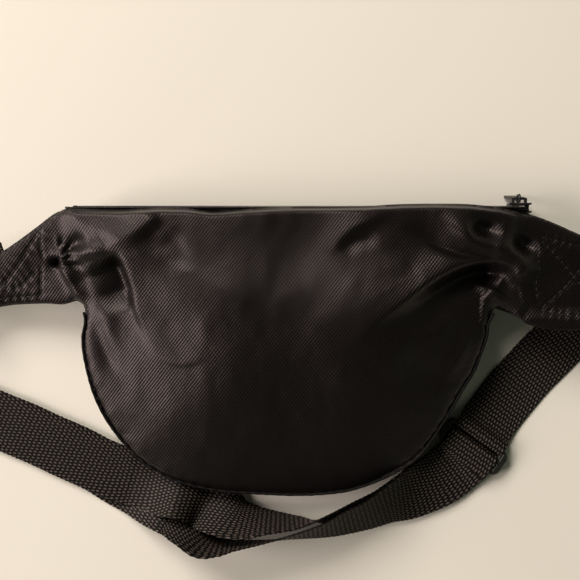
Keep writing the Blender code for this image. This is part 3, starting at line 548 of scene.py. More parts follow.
# -------------------------------------------------------------------------------- the folds, sculpted
# Each is a line, its height and its widths to the left and right of the line, in millimetres, and the
# shares of its length that its two ends taper over.
FOLDS = [
    # left: the crest from the pinch along the wing's root to the zip edge, and the hollows about it
    ([(-126.4, 51.6), (-115, 53.6), (-104.6, 54.4), (-96.0, 55.6), (-89.0, 58.0)],
     3.0, 5.0, 3.4, (0.03, 0.5)),
    ([(-100.0, 56.0), (-89.0, 61.5), (-79.0, 67.0), (-70.0, 75.0)], 2.4, 9.0, 6.0, (0.3, 0.2)),
    ([(-125.5, 54.6), (-119.0, 57.2), (-109.0, 61.6)], -3.8, 4.6, 4.4, (0.3, 0.4)),
    ([(-84.0, 56.0), (-73.0, 64.0), (-64.0, 70.0)], -1.8, 4.5, 8.0, (0.5, 0.5)),
    ([(-66.0, 66.0), (-60.0, 54.0), (-56.0, 42.0)], -1.6, 6.0, 9.0, (0.3, 0.4)),
    # left: the body's crest down from the pinch, and the deep valley inside it
    ([(-127.2, 50.2), (-123.0, 45.0), (-118.5, 36.0), (-114.6, 27.0), (-112.5, 19.0)],
     3.0, 4.4, 3.0, (0.05, 0.4)),
    ([(-96.5, 53.0), (-92.6, 44.0), (-89.0, 33.0), (-86.0, 21.0)], -9.6, 2.6, 14.0, (0.22, 0.45)),
    ([(-95.0, 56.0), (-89.5, 44.0), (-84.0, 28.0), (-78.0, 12.0), (-70.0, -4.0)],
     2.2, 12.0, 2.6, (0.15, 0.5)),
    ([(-110.0, 47.0), (-104.0, 30.0), (-99.5, 10.0), (-96.0, -6.0)], 1.4, 6.0, 8.0, (0.3, 0.5)),
    ([(-108.0, 22.0), (-102.0, 2.0), (-94.0, -18.0)], -1.6, 4.0, 5.0, (0.3, 0.4)),
    ([(-76.0, 2.0), (-68.0, -3.6), (-58.0, -5.8), (-48.0, -3.4), (-42.0, 1.0)], 0.7, 4.4, 2.0, (0.45, 0.45)),
    # middle: the thin crest and the lit swell over the big fold
    ([(19.0, 50.0), (24.0, 58.0), (33.0, 66.0), (44.0, 71.6), (54.0, 75.4)], 1.9, 7.6, 3.6, (0.45, 0.45)),
    ([(26.0, 54.0), (36.0, 60.0), (48.0, 62.0)], -1.4, 4.0, 5.0, (0.3, 0.3)),
    ([(44.0, 50.0), (54.0, 46.5), (65.0, 47.5)], 0.6, 5.0, 5.0, (0.5, 0.5)),
    # right: the lit band from the zip edge that turns down at the wing
    ([(82.0, 76.0), (89.0, 68.0), (98.0, 60.5), (110.0, 57.0), (120.5, 53.0), (127.0, 46.0), (129.5, 35.0)],
     3.0, 6.0, 4.4, (0.3, 0.2)),
    ([(94.0, 65.0), (104.0, 67.0), (116.0, 63.4)], -5.4, 4.4, 6.4, (0.45, 0.45)),
    ([(119.0, 61.0), (128.0, 59.0), (136.0, 53.0)], -5.0, 4.2, 5.6, (0.45, 0.45)),
    ([(58.0, 68.0), (72.0, 62.0), (88.0, 54.6), (104.0, 51.8), (119.0, 50.4)], -4.2, 7.6, 3.4, (0.45, 0.2)),
    # right: the big fold's crest and the deep cavity under it
    ([(124.5, 38.0), (121.5, 46.0), (113.0, 50.0), (102.0, 49.4), (90.0, 46.2), (76.0, 39.8), (61.0, 28.6),
      (46.0, 17.5), (30.0, 4.0)], 6.0, 3.8, 11.0, (0.04, 0.6)),
    ([(116.0, 39.5), (108.0, 43.4), (98.0, 42.0), (86.0, 36.0), (72.0, 26.0), (56.0, 12.0)],
     -12.5, 13.0, 4.2, (0.12, 0.85)),
    ([(101.0, 37.5), (110.0, 33.0), (121.0, 26.0), (130.0, 22.0)], 2.6, 2.4, 3.6, (0.25, 0.15)),
    ([(70.0, 4.0), (80.0, 12.0), (92.0, 22.0)], 1.0, 5.0, 5.0, (0.5, 0.4)),
    ([(84.0, -18.0), (92.0, -4.0), (99.0, 10.0)], 1.2, 3.6, 4.0, (0.4, 0.3)),
    ([(60.0, 4.0), (74.0, -8.0), (84.0, -24.0)], -1.8, 8.0, 10.0, (0.4, 0.4)),
]
SWELLS = [  # middle, radius and height
    ((42.0, 10.0), 36.0, 6.0), ((10.0, 64.0), 34.0, -4.0), ((-88.0, 64.0), 20.0, 2.6),
    ((-36.0, 14.0), 40.0, 4.6), ((66.0, 60.0), 22.0, -2.0), ((90.0, 66.0), 14.0, 2.4),
    ((-50.0, -36.0), 40.0, 2.6),
]
LEFT_SIDE = ([-114.6, -118.0, -122.5, -125.5], [20.0, 42.0, 60.0, 77.0])
RIGHT_SIDE = ([112.0, 115.5, 122.0, 128.5], [20.0, 34.0, 55.0, 75.6])
STITCH_LINES = {
    "left_wing": [
        [(-136.0, 68.4), (-136.6, 60.0), (-135.6, 51.5)],
        [(-137.0, 67.0), (-143.0, 56.5), (-150.0, 46.5), (-159.0, 36.0), (-168.0, 27.5)],
        [(-163.0, 36.4), (-152.0, 34.6), (-146.0, 37.5), (-140.0, 43.6)],
        [(-136.6, 46.0), (-137.2, 38.0), (-137.0, 30.5)],
        [(-139.0, 30.2), (-152.0, 29.4), (-166.0, 27.4), (-184.0, 22.6)],
    ],
    "right_wing": [
        [(135.0, 57.5), (136.2, 46.0), (135.0, 36.0), (136.5, 26.0)],
        [(138.0, 60.0), (150.0, 48.0), (162.0, 34.0), (170.0, 22.0)],
        [(139.0, 24.0), (152.0, 36.0), (164.0, 50.0), (170.0, 56.0)],
        [(138.0, 62.5), (154.0, 58.6), (170.0, 55.6), (190.0, 50.0)],
        [(138.5, 22.6), (154.0, 19.4), (172.0, 18.6), (192.0, 19.6)],
    ],
}


def back_height(points, ring, edge):
    """Height of the outer face of the back and of both wings' backs, from the body's seam line and
    the whole back's outline."""
    x, y = points[:, 0], points[:, 1]
    edge_gap = rim_gap(points, edge)
    share = np.clip(radial_share(points, ring), 0, 1)
    body = seam_z(y) + CROWN * (1 - share ** 1.9) + 0.8
    wing_half = 1.9 * (1 - np.exp(-edge_gap / 3.0))
    left = wing_middle_z(points, -1) + wing_half
    right = wing_middle_z(points, 1) + wing_half
    gap = rim_gap(points, ring)
    outside = np.where(inside(points, ring), -gap, gap)
    side_gap = np.where(x < 0, np.interp(y, LEFT_SIDE[1], LEFT_SIDE[0]) - x,
                        x - np.interp(y, RIGHT_SIDE[1], RIGHT_SIDE[0]))
    to_wing = smoothstep(-10.0, 4.0, side_gap) * smoothstep(17.0, 25.0, y)
    z = np.where(x < 0, body * (1 - to_wing) + left * to_wing, body * (1 - to_wing) + right * to_wing)
    on_body = 1 - smoothstep(0.0, 6.0, outside)
    for line, height, wide_left, wide_right, fade in FOLDS:
        z += stroke(points, line, height, wide_left, wide_right, fade)
    for middle, radius, height in SWELLS:
        z += height * np.exp(-((x - middle[0]) ** 2 + (y - middle[1]) ** 2) / radius ** 2)
    # the pinch at the left wing's root: a small deep hole with pleats running into it
    from_pinch = x - PINCH_AT[0], y - PINCH_AT[1]
    pinch = np.hypot(*from_pinch)
    z -= 6.5 * np.exp(-(pinch / 2.4) ** 2)
    angle = np.arctan2(from_pinch[1], from_pinch[0])
    z += 0.9 * np.sin(angle * 13.0 + 0.6) * np.exp(-((pinch - 8.0) / 6.0) ** 2) * on_body ** 0.3
    # puckers beside the stitch lines
    for lines in STITCH_LINES.values():
        for k, line in enumerate(lines):
            smooth = smooth_route(line, 6)
            dist, along, _ = segment_distance(points, smooth)
            length = lengths_along(smooth)[-1]
            z -= 0.45 * np.exp(-(dist / 0.9) ** 2)
            ripple = np.sin(along * length * 2 * math.pi / 5.2 + 1.7 * k
                            + 2.0 * value_noise(points, 9.0, 40 + k))
            z += 0.22 * ripple * np.exp(-(dist / 3.6) ** 2)
    # gathers along the round seam, and the slack of the cloth
    gathers = np.sin(np.arctan2(y - 4.0, x + 2.0) * 74.0 + 3.0 * value_noise(points, 14.0, 5))
    z += 0.30 * gathers * np.exp(-edge_gap / 3.5) * smoothstep(0.9, 1.0, share) * (y < 20)
    z += 0.75 * value_noise(points, 31.0, 1) + 0.42 * value_noise(points, 15.0, 2)
    z += 0.16 * value_noise(points * (1.0, 0.55), 6.5, 3) + 0.05 * value_noise(points, 3.1, 4)
    # the edge turns under to its seam, and along the zip it comes down to the top's strip
    z -= 2.4 * np.exp(-edge_gap / 1.6) * on_body
    top = np.array(BODY_TOP, float)
    top = top[np.argsort(top[:, 0])]
    to_strip = smoothstep(-3.4, -0.4, y - np.interp(x, top[:, 0], top[:, 1]))
    to_strip *= smoothstep(-126.0, -112.0, x) * smoothstep(131.0, 118.0, x)
    return z + (BACK_Z_AT_ZIP - z) * to_strip


def on_bag(made, slot, *nodes):
    """A piece that moves with the bag, in place of the CAD nodes named."""
    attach(made, "bag")
    if nodes:
        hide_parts(*nodes)


def back_of_pack(material):
    outline = outline_part(LEFT_WING_LOW + BODY_ROUND + RIGHT_WING_LOW, RIGHT_WING_TIP, RIGHT_WING_TOP,
                           BODY_TOP, LEFT_WING_TOP, LEFT_WING_TIP)[:-1]
    verts, faces = fill_outline(outline, 1.1)
    z = back_height(verts, body_side(), outline)
    made = link_mesh("pack_back", np.column_stack([verts, z]) * MM, faces, material)
    thicken(made, BACK_CLOTH)
    return made, outline


def wing_under(side, material):
    """The wing's front layer, which closes on the back layer along its edges."""
    if side < 0:
        root = [(-112.5, 25.0), (-117, 50.0), (-122.5, 74.0)]
        outline = outline_part(LEFT_WING_LOW + root[:1], root,
                               [(-122.5, 74.0), (-125.5, 76.4)], LEFT_WING_TOP, LEFT_WING_TIP)[:-1]
    else:
        root = [(125.5, 72.0), (119.0, 50.0), (111.5, 22.5)]
        outline = outline_part(root[-1:] + RIGHT_WING_LOW, RIGHT_WING_TIP, RIGHT_WING_TOP,
                               [(128.5, 75.6), (125.5, 72.0)], root)[:-1]
    verts, faces = fill_outline(outline, 1.8)
    drop = 2.1 * (1 - np.exp(-rim_gap(verts, outline) / 3.0))
    z = wing_middle_z(verts, side) - 1.5 - drop + 0.5 * value_noise(verts, 14.0, 21)
    x = verts[:, 0]
    z -= 5.0 * (smoothstep(-132.0, -116.0, x) if side < 0 else smoothstep(132.0, 116.0, x))
    name = "left_wing_front" if side < 0 else "right_wing_front"
    made = link_mesh(name, np.column_stack([verts, z]) * MM, faces, material)
    thicken(made, BACK_CLOTH)
    return made


# -------------------------------------------------------------------------------------- belt webbing
# The doubled belt's two layers from the tri-glide through their half twist: x, y, the roll of the
# width and how much the layer stands clear of the ground.
TWIST_OF_LAYER = {
    "upper": [
        (96.5, -65.0, 0, 0), (85.0, -74.0, -5, 0), (71.0, -80.8, -19, 0), (57.5, -86.2, -38, 0.4),
        (44.6, -92.3, -49, 0.3), (31.7, -96.7, -55, 0), (20.5, -100.4, -63, 0), (2.5, -104.0, -73, 0),
        (-15.0, -107.0, -80, 0), (-30.6, -108.8, -88, 0), (-40.0, -109.0, -100, 0), (-48.0, -106.8, -118, 0),
        (-55.0, -99.8, -138, 0), (-62.0, -92.8, -151, 0), (-69.0, -88.4, -155, 0), (-78.0, -84.2, -168, 0),
        (-88.0, -79.0, -178, 0), (-100.0, -72.4, -180, 0)],
    "lower": [
        (96.5, -65.0, 0, 0), (87.0, -72.5, -4, 0), (74.0, -79.0, -14, 0), (60.0, -84.4, -32, 0),
        (47.0, -88.8, -46, 0), (32.0, -92.4, -58, 0), (18.0, -94.8, -73, 0), (4.5, -95.9, -90, 0),
        (-12.8, -95.6, -104, 0), (-22.3, -95.4, -115, 0), (-30.7, -94.2, -126, 0), (-38.5, -91.0, -145, 0),
        (-47.0, -86.6, -163, 0.2), (-55.0, -82.0, -155, 1.8), (-63.0, -79.2, -152, 2.0),
        (-70.0, -78.4, -162, 1.2), (-79.0, -77.2, -175, 0.4), (-89.0, -74.0, -180, 0),
        (-100.0, -70.2, -180, 0)],
}
# From there to the buckle, both layers: x, y and roll.
REST_OF_BELT = [
    (-115.0, -63.5, -180), (-140.0, -52.0, -180), (-163.0, -42.0, -180), (-190.0, -32.0, -178),
    (-218.0, -27.5, -174), (-244.0, -25.0, -160), (-268.0, -24.5, -132), (-290.0, -24.0, -106),
    (-308.0, -21.0, -92), (-322.0, -13.0, -90), (-328.0, -1.0, -90), (-323.5, 10.5, -90),
    (-312.0, 16.0, -86), (-299.0, 16.6, -68), (-287.0, 16.2, -46), (-276.0, 16.2, -23), (-265.6, 17.0, -2),
]
# From the right wing's tip, down and back under it to the tri-glide: x, y and z.
WING_RUN_ROUTE = [
    (170.0, 38.0, 22.2), (188.0, 35.4, 21.0), (205.0, 33.0, 20.0), (214.5, 31.8, 19.2),
    (221.0, 31.3, 16.2), (224.0, 31.1, 10.4), (221.0, 31.0, 4.6), (212.0, 30.8, 1.7),
    (197.0, 29.6, 1.1), (181.0, 24.8, 1.0), (166.5, 15.2, 1.0), (153.5, 3.4, 1.0),
    (141.0, -8.8, 1.0), (129.8, -21.0, 1.0), (119.5, -33.6, 1.2),
]
# From the left wing's tip towards the buckle: x, y, z and roll.
LEFT_RUN_ROUTE = [
    (-154.0, 45.0, 22.6, -13), (-172.0, 39.6, 21.2, -16), (-190.0, 34.0, 20.0, -18),
    (-196.0, 31.9, 17.4, -11), (-201.0, 30.1, 13.2, -4),
]
UP = Vector((0, 0, 1))


def unit(vectors):
    return vectors / np.linalg.norm(vectors, axis=1)[:, None]


def stations(route):
    """Centres and width directions along x, y, z and roll. The strap keeps its side where it folds back."""
    centres = smooth_route([p[:3] for p in route], 6)
    rolls = smooth_route([[p[3] if len(p) > 3 else 0.0] for p in route], 6)[:, 0]
    across, before = [], None
    for i in range(len(centres)):
        ahead, behind = centres[min(i + 1, len(centres) - 1)], centres[max(i - 1, 0)]
        travel = Vector(ahead - behind).normalized()
        level = travel.cross(UP)
        if level.length < 0.25 and before is not None:
            level = before.copy()
        if before is not None and level.dot(before) < 0:
            level = -level
        level = (level - travel * level.dot(travel)).normalized()
        before = level
        across.append(tuple(Matrix.Rotation(math.radians(rolls[i]), 3, travel) @ level))
    return centres, np.array(across)


def upright_line(at, heading, places):
    """Points in the upright plane along a heading, each given as its distance along it and its z."""
    angle = math.radians(heading)
    return [(at[0] + math.cos(angle) * along, at[1] + math.sin(angle) * along, z)
            for along, z in places]


def doubled_belt(layer):
    """One layer of the doubled belt, clear of the tri-glide. The upper one is outside by the glide."""
    side = 1 if layer == "upper" else -1
    both = TWIST_OF_LAYER[layer] + [(x, y, roll, 0) for x, y, roll in REST_OF_BELT]
    route = smooth_route(both, 4)
    lean = np.radians(route[:, 2])
    flat, upright = abs(np.cos(lean)), abs(np.sin(lean))
    z = WEBBING_WIDTH / 2 * upright + LAYER_STEP * flat + 0.4 + route[:, 3]
    places = np.column_stack([route[:, :2], z])
    centres, across = [], []
    for i, place in enumerate(places):
        travel = Vector(places[min(i + 1, len(places) - 1)] - places[max(i - 1, 0)]).normalized()
        level = travel.cross(UP).normalized()
        wide = Matrix.Rotation(lean[i], 3, travel) @ level
        # past the twist the layers stand apart along their own faces' normal
        step = LAYER_STEP + (LAYERS_OPEN * upright[i] if place[0] < -105 else 0.0)
        shift = np.array(wide.cross(travel)) * side * step / 2
        if place[0] >= -105:
            shift[:2] = 0.0
        if math.dist(place[:2], TRI_GLIDE_AT) > 12.5:
            centres.append(place + shift)
            across.append(tuple(wide))
    return np.array(centres), np.array(across)


def joined(*runs):
    """One strap from several, each turned so that its width keeps its side."""
    centres, across = runs[0]
    for more, wide in runs[1:]:
        if np.dot(across[-1], wide[0]) < 0:
            wide = -wide
        centres, across = np.vstack([centres, more]), np.vstack([across, wide])
    return centres, across


def even_strap(run, step):
    """The run at even steps and smoothed: centres, width directions, normals and distances along it."""
    centres, across = run
    both = np.column_stack([centres, across])
    both = both[np.r_[True, np.diff(lengths_along(centres)) > 1e-6]]
    # a smooth curve through the stations, then even steps along it
    fine = smooth_route(both, 5)
    lengths = lengths_along(fine[:, :3])
    count = int(round(lengths[-1] / step))
    at = np.linspace(0, lengths[-1], count + 1)
    even = np.stack([np.interp(at, lengths, fine[:, k]) for k in range(6)], 1)
    for _ in range(3):
        even[1:-1] = (even[:-2] + 2 * even[1:-1] + even[2:]) / 4
    centres = even[:, :3]
    travel = unit(np.gradient(centres, axis=0))
    across = even[:, 3:]
    across = unit(across - travel * (across * travel).sum(1)[:, None])
    return centres, across, np.cross(across, travel), at


def weave_relief(u, s):
    """0 to 1: the floats of the webbing's weave, in staggered rows, which its material follows."""
    row = s / WEAVE_ALONG + 0.10 * np.sin(u * 1.3)
    stagger = 0.5 * (np.floor(row) % 2)
    float_along = np.abs(np.sin(np.pi * row)) ** 0.7
    float_across = 0.5 + 0.5 * np.cos(2 * np.pi * (u / WEAVE_ACROSS + stagger))
    return float_along * float_across


def strap(name, run):
    """Woven webbing along the run: two woven faces with rope-like selvages. Gives back its length."""
    columns = 58
    centres, across, normal, at = even_strap(run, 0.55)
    half = WEBBING_WIDTH / 2
    u = np.linspace(-half, half, columns)
    edge = np.clip((half - abs(u)) / 1.1, 0, 1)
    rim = np.sqrt(1 - (1 - edge) ** 2)
    count = len(centres)
    s = at[:, None] * np.ones(columns)
    uu = np.ones((count, 1)) * u
    waver = 0.16 * np.sin(at * 2 * math.pi / 2.6) + 0.12 * np.sin(at * 0.21 + 1.0)
    verts = np.zeros((count, 2 * columns, 3))
    uvs = np.zeros((count, 2 * columns, 2))
    for face in (1, -1):
        woven = s if face > 0 else s + WEAVE_ALONG / 2
        relief = weave_relief(uu, woven)
        selvage = np.exp(-((half - 0.9 - abs(uu)) / 0.8) ** 2)
        rope = 0.5 + 0.5 * np.sin(2 * math.pi * (s / 2.6 + face * abs(uu) * 0.25))
        lift = (0.24 + 0.44 * relief * (1 - selvage) + selvage * (0.10 + 0.34 * rope)) * rim
        stretch = 1 + waver[:, None] / half
        place = (centres[:, None] + across[:, None] * (uu * stretch)[..., None]
                 + normal[:, None] * (face * lift)[..., None])
        order = slice(0, columns) if face > 0 else slice(columns, 2 * columns)
        turned = (slice(None), slice(None, None, -1)) if face < 0 else (slice(None), slice(None))
        verts[:, order] = place[turned]
        uvs[:, order, 0] = uu[turned] / 100
        uvs[:, order, 1] = woven / 100
    faces = [face[:1] + face[:0:-1] for face in tube_faces(count, 2 * columns)]
    made = link_mesh(name, verts.reshape(-1, 3) * MM, faces, WEB, uvs.reshape(-1, 2))
    return made, at[-1]


def belt():
    over, under = TRI_GLIDE_Z + GLIDE_OVER, TRI_GLIDE_Z - GLIDE_UNDER
    run = WING_RUN_ROUTE + upright_line(TRI_GLIDE_AT, TRI_GLIDE_HEADING, [
        (-14.0, 2.6), (-11.0, 5.4), (-8.8, over), (-6.4, over + 0.05), (-5.1, over - 0.2), (-4.65, 5.3),
        (-4.5, 3.4), (-4.2, 2.0), (-3.4, 1.1), (-2.0, 0.95), (3.0, 0.95), (9.0, 0.95)])
    wing, wing_length = strap("belt_from_wing", stations(run))

    bar_under, bar_over = BUCKLE_Z - BUCKLE_WRAP, BUCKLE_Z + BUCKLE_WRAP
    bar_at = -PLUG_LENGTH + BUCKLE_BAR / 2
    slot_at = -PLUG_LENGTH + BUCKLE_BAR + 1.1
    wrap = stations(upright_line(BUCKLE_AT, BUCKLE_HEADING, [
        (bar_at - 4.0, bar_under - 0.6), (bar_at, bar_under), (slot_at - 0.9, bar_under + 0.15),
        (slot_at, BUCKLE_Z - 1.3), (slot_at, BUCKLE_Z + 1.3), (slot_at - 0.5, bar_over - 0.4)]))
    lower, lower_length = strap("belt_lower_layer", joined(doubled_belt("lower"), wrap))

    loop = stations(upright_line(TRI_GLIDE_AT, TRI_GLIDE_HEADING, [
        (3.0, under), (-0.6, under), (-1.8, under + 0.4), (-2.35, under + 1.4), (-2.35, over - 1.3),
        (-1.8, over - 0.3), (-0.8, over), (3.0, over), (8.6, over), (11.0, over - 0.9)]))
    end = stations(upright_line(BUCKLE_AT, BUCKLE_HEADING, [
        (bar_at - 4.0, bar_over - 0.7), (bar_at - 0.4, bar_over + 0.05)]))
    upper, upper_length = strap("belt_upper_layer", joined(loop, doubled_belt("upper"), end))

    for piece, length, node in ((wing, wing_length, "belt_webbing_wing_run"),
                                (lower, lower_length, "belt_webbing_lower_run"),
                                (upper, upper_length, "belt_webbing_upper_run")):
        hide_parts(node)
    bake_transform(wing)
    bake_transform(upper)
    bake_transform(lower)


def left_belt():
    bar_at = SOCKET_LENGTH - BUCKLE_BAR / 2
    slot_at = SOCKET_LENGTH - BUCKLE_BAR - 1.1
    over, under = BUCKLE_Z + BUCKLE_WRAP, BUCKLE_Z - BUCKLE_WRAP
    loop = upright_line(BUCKLE_AT, BUCKLE_HEADING, [
        (bar_at + 5.6, over + 1.0), (bar_at + 2.4, over + 0.1), (bar_at, over), (slot_at + 0.7, over - 0.2),
        (slot_at, over - 1.6), (slot_at, under + 1.6), (slot_at + 0.7, under + 0.2), (bar_at, under),
        (bar_at + 3.5, under + 0.5), (bar_at + 7.5, under + 2.8), (bar_at + 10.0, under + 4.9)])
    made, length = strap("left_belt", stations(LEFT_RUN_ROUTE + loop))
    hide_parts("left_webbing")
    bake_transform(made)


# ------------------------------------------------------------------------- walls, piping, front, top
def frames_along(points):
    """Sideways and upright directions along a line."""
    travel = unit(np.gradient(points, axis=0))
    side = unit(np.cross(travel, np.array([[0.0, 0.0, 1.0]])))
    return side, np.cross(side, travel)


def swept(name, points, radius, material, ripple):
    """A round cord of fabric or wire; ripple puckers it."""
    side, rise = frames_along(points)
    lengths = lengths_along(points)
    segments = 10
    turn = np.linspace(0, 2 * math.pi, segments, endpoint=False)
    r = radius * (1 + ripple * np.sin(lengths * 2 * math.pi / 4.3)[:, None]
                  * np.ones(segments)) * (1 + 0.4 * ripple * np.sin(lengths * 1.13)[:, None])
    verts = (points[:, None] + side[:, None] * (np.cos(turn) * r)[..., None]
             + rise[:, None] * (np.sin(turn) * r)[..., None])
    return link_mesh(name, verts.reshape(-1, 3) * MM, tube_faces(len(points), segments), material)


def stitched(name, lines, length=2.7, gap=0.9, radius=0.27):
    """Rows of sewing stitches along lines of points: short rounded lengths of thread."""
    verts, faces = [], []
    fine = 0.3
    rings, around = 6, 6
    turn = np.linspace(0, 2 * math.pi, around, endpoint=False)
    step = int(round((length + gap) / fine))
    span = int(round(length / fine))
    for line in lines:
        line = resample(line, fine)
        for start in range(0, len(line) - span, step):
            piece = line[start:start + span + 1]
            piece = piece[np.linspace(0, span, rings).astype(int)].copy()
            side, rise = frames_along(piece)
            t = np.linspace(-1, 1, rings)
            fat = radius * np.sqrt(np.clip(1 - 0.86 * t ** 6, 0, 1))
            piece[:, 2] += 0.10 * (1 - t ** 2) - 0.05
            ring = (piece[:, None] + side[:, None] * (np.cos(turn) * fat[:, None])[..., None]
                    + rise[:, None] * (np.sin(turn) * fat[:, None] * 0.8)[..., None])
            base = len(verts)
            verts += [tuple(p) for p in ring.reshape(-1, 3) * MM]
            faces += [[base + k for k in face] for face in tube_faces(rings, around)]
    return link_mesh(name, verts, faces, THREAD)


def side_gusset():
    """The wall from one end of the zip round the bottom to the other, slack between its two seams."""
    line = resample(body_side(), 1.6)
    line = line[(line[:, 1] < 74.0)]
    lengths = lengths_along(line)
    tangent = unit(np.gradient(line, axis=0))
    out = np.column_stack([tangent[:, 1], -tangent[:, 0]])
    rows = 18
    verts = []
    for k in range(rows + 1):
        v = k / rows
        low, high = 8.5, seam_z(line[:, 1]) - 0.6 - 7.0 * smoothstep(16.0, 30.0, line[:, 1])
        z = low + (high - low) * v
        slack = math.sin(math.pi * v)
        bulge = -0.8 + 1.5 * slack * (0.6 + 0.4 * np.sin(lengths / 31.0))
        bulge = bulge + slack * 0.8 * value_noise(np.column_stack([lengths, z * 2.2]), 16.0, 51)
        drift = value_noise(np.column_stack([lengths, z * 0]), 20.0, 52)
        pleat = np.sin(lengths * 2 * math.pi / 5.4 + 2.5 * drift)
        bulge = bulge + 0.35 * pleat * (abs(2 * v - 1) ** 2.0)
        place = line + out * bulge[:, None]
        verts.append(np.column_stack([place, z]))
    made = grid_object("side_wall", [[Vector(p) * MM for p in row] for row in verts], WALL_NYLON)
    thicken(made, FRONT_CLOTH, 0.0)
    on_bag(made, "nylon", "side_gusset")


def piping():
    line = resample(body_side(), 0.8)
    tangent = unit(np.gradient(line, axis=0))
    out = np.column_stack([tangent[:, 1], -tangent[:, 0]])
    low = line[:, 1] < 22.0
    back = (line + out * 0.3)[low]
    points = np.column_stack([back, seam_z(back[:, 1]) - 0.5
                              + 0.25 * np.sin(np.arange(len(back)) * 0.8 * 2 * math.pi / 6.1)])
    made = swept("back_binding", points, 0.8, BINDING, ripple=0.03)
    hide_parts("back_piping")
    low = line[:, 1] < 76.0
    front = (line + out * 0.7)[low]
    points = np.column_stack([front, np.full(len(front), 7.9)])
    other = swept("front_binding", points, 1.05, BINDING, ripple=0.10)
    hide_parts("front_piping")
    for item in (made, other):
        on_bag(item, "nylon")


def front_of_pack():
    """The flat panel over the pocket, slack outside the pocket's seam."""
    outline = resample(closed(body_side()), 2.0)[:-1]
    verts, faces = fill_outline(outline, 2.2)
    pocket_seam = pocket_line(0.0)
    beyond = np.where(inside(verts, pocket_seam), 0.0, rim_gap(verts, pocket_seam))
    sag = smoothstep(1.0, 8.0, beyond) * smoothstep(0.0, 8.0, rim_gap(verts, outline))
    z = 7.7 - 1.6 * sag + 0.5 * sag * value_noise(verts, 15.0, 61) + 0.12 * value_noise(verts, 6.0, 62)
    made = link_mesh("pack_front", np.column_stack([verts, z]) * MM, faces, NYLON)
    thicken(made, FRONT_CLOTH, 0.0)
    on_bag(made, "nylon", "front_panel")


def pocket_line(inset):
    """The pocket's outline: a straight upper edge and a round lower half."""
    half, top, bottom = 86.0 - inset, 44.0 - inset, -64.0 + inset
    angle = np.linspace(math.pi, 2 * math.pi, 90)
    c, s = np.cos(angle), np.sin(angle)
    power = 2 / 2.15
    x = half * np.sign(c) * abs(c) ** power
    y = top - (top - bottom) * abs(s) ** power
    return np.column_stack([x, y])


def pocket_wall(gap):
    """0 at the pocket's seam, rising to 1 where its panel has reached its full depth."""
    return 1 - np.exp(-(gap / 3.6) ** 1.3)


def pocket():
    """The pocket's puffed panel: its rim is sewn to the front and its middle rests on the ground."""
    outline = resample(closed(pocket_line(0.0)), 1.8)[:-1]
    verts, faces = fill_outline(outline, 2.0)
    gap = rim_gap(verts, outline)
    wall = pocket_wall(gap)
    z = POCKET_SEAM_Z - POCKET_DEPTH * wall
    rim = np.exp(-((gap - 5.0) / 5.0) ** 2)
    angle = np.arctan2(verts[:, 1] - 10, verts[:, 0])
    z += rim * 0.55 * np.sin(angle * 62 + 2.4 * value_noise(verts, 15.0, 71))
    z += 0.35 * (value_noise(verts, 24.0, 72) + 0.6 * value_noise(verts, 10.0, 73)) * wall
    z = np.clip(z, 0.5, 7.0)
    made = link_mesh("pocket_front", np.column_stack([verts, z]) * MM, faces, NYLON)
    thicken(made, FRONT_CLOTH, 0.0)
    on_bag(made, "nylon", "pocket_panel")
    inset = 2.2
    seam = resample(pocket_line(inset), 0.5)
    depth = POCKET_SEAM_Z - POCKET_DEPTH * pocket_wall(np.full(len(seam), inset)) - 0.45
    thread = stitched("pocket_stitches", [np.column_stack([seam, depth])])
    on_bag(thread, "nylon")


def top_strips():
    """The strips of the top on either side of the zip."""
    xs = np.arange(-122.5, 129.6, 1.5)
    strip_y, stitches_y = 78.4, 78.9
    for label, low, high in (("back", 25.4, 30.4), ("front", 8.4, 18.6)):
        rows = []
        for k in range(13):
            v = k / 12
            z = low + (high - low) * v
            to_zip = v if label == "front" else 1 - v
            wave = 0.3 * abs(value_noise(np.column_stack([xs, np.full(len(xs), z * 1.6)]), 17.0, 81))
            pucker = 0.12 * np.sin(xs * 2 * math.pi / 5.0) * (1 - to_zip)
            y = strip_y + wave * math.sin(math.pi * v) + pucker
            rows.append([Vector((x, yy, z)) * MM for x, yy in zip(xs, y)])
        made = grid_object(f"top_strip_{label}", rows, WALL_NYLON)
        thicken(made, FRONT_CLOTH, 0.0)
        on_bag(made, "nylon", f"top_panel_{label}")
        near, far = (26.6, 29.4) if label == "back" else (17.2, 14.6)
        lines = [np.column_stack([xs, np.full(len(xs), stitches_y), np.full(len(xs), z)])
                 for z in (near, far)]
        thread = stitched(f"top_stitches_{label}", lines, radius=0.2)
        on_bag(thread, "nylon")


# -------------------------------------------------------------------------------------------- zips
MAIN_COIL_Y = 79.2
POCKET_COIL_Z = 4.7
COIL_WIRE = 0.24        # the coils' wire radius
COIL_PITCH = 1.15       # between neighbouring turns


def coil_row(start, end, wide, high):
    """A zip's coil: one strand of wire wound from end to end, as x and the two offsets across it."""
    turns = int((end - start) / COIL_PITCH)
    angle = np.linspace(0, 2 * math.pi * turns, turns * 10 + 1)
    x = np.linspace(start, end, len(angle))
    c, s = np.cos(angle), np.sin(angle)
    squarer = 0.75
    a = np.sign(c) * abs(c) ** squarer * (wide / 2 - COIL_WIRE)
    b = np.sign(s) * abs(s) ** squarer * (high / 2 - COIL_WIRE)
    return x, a, b


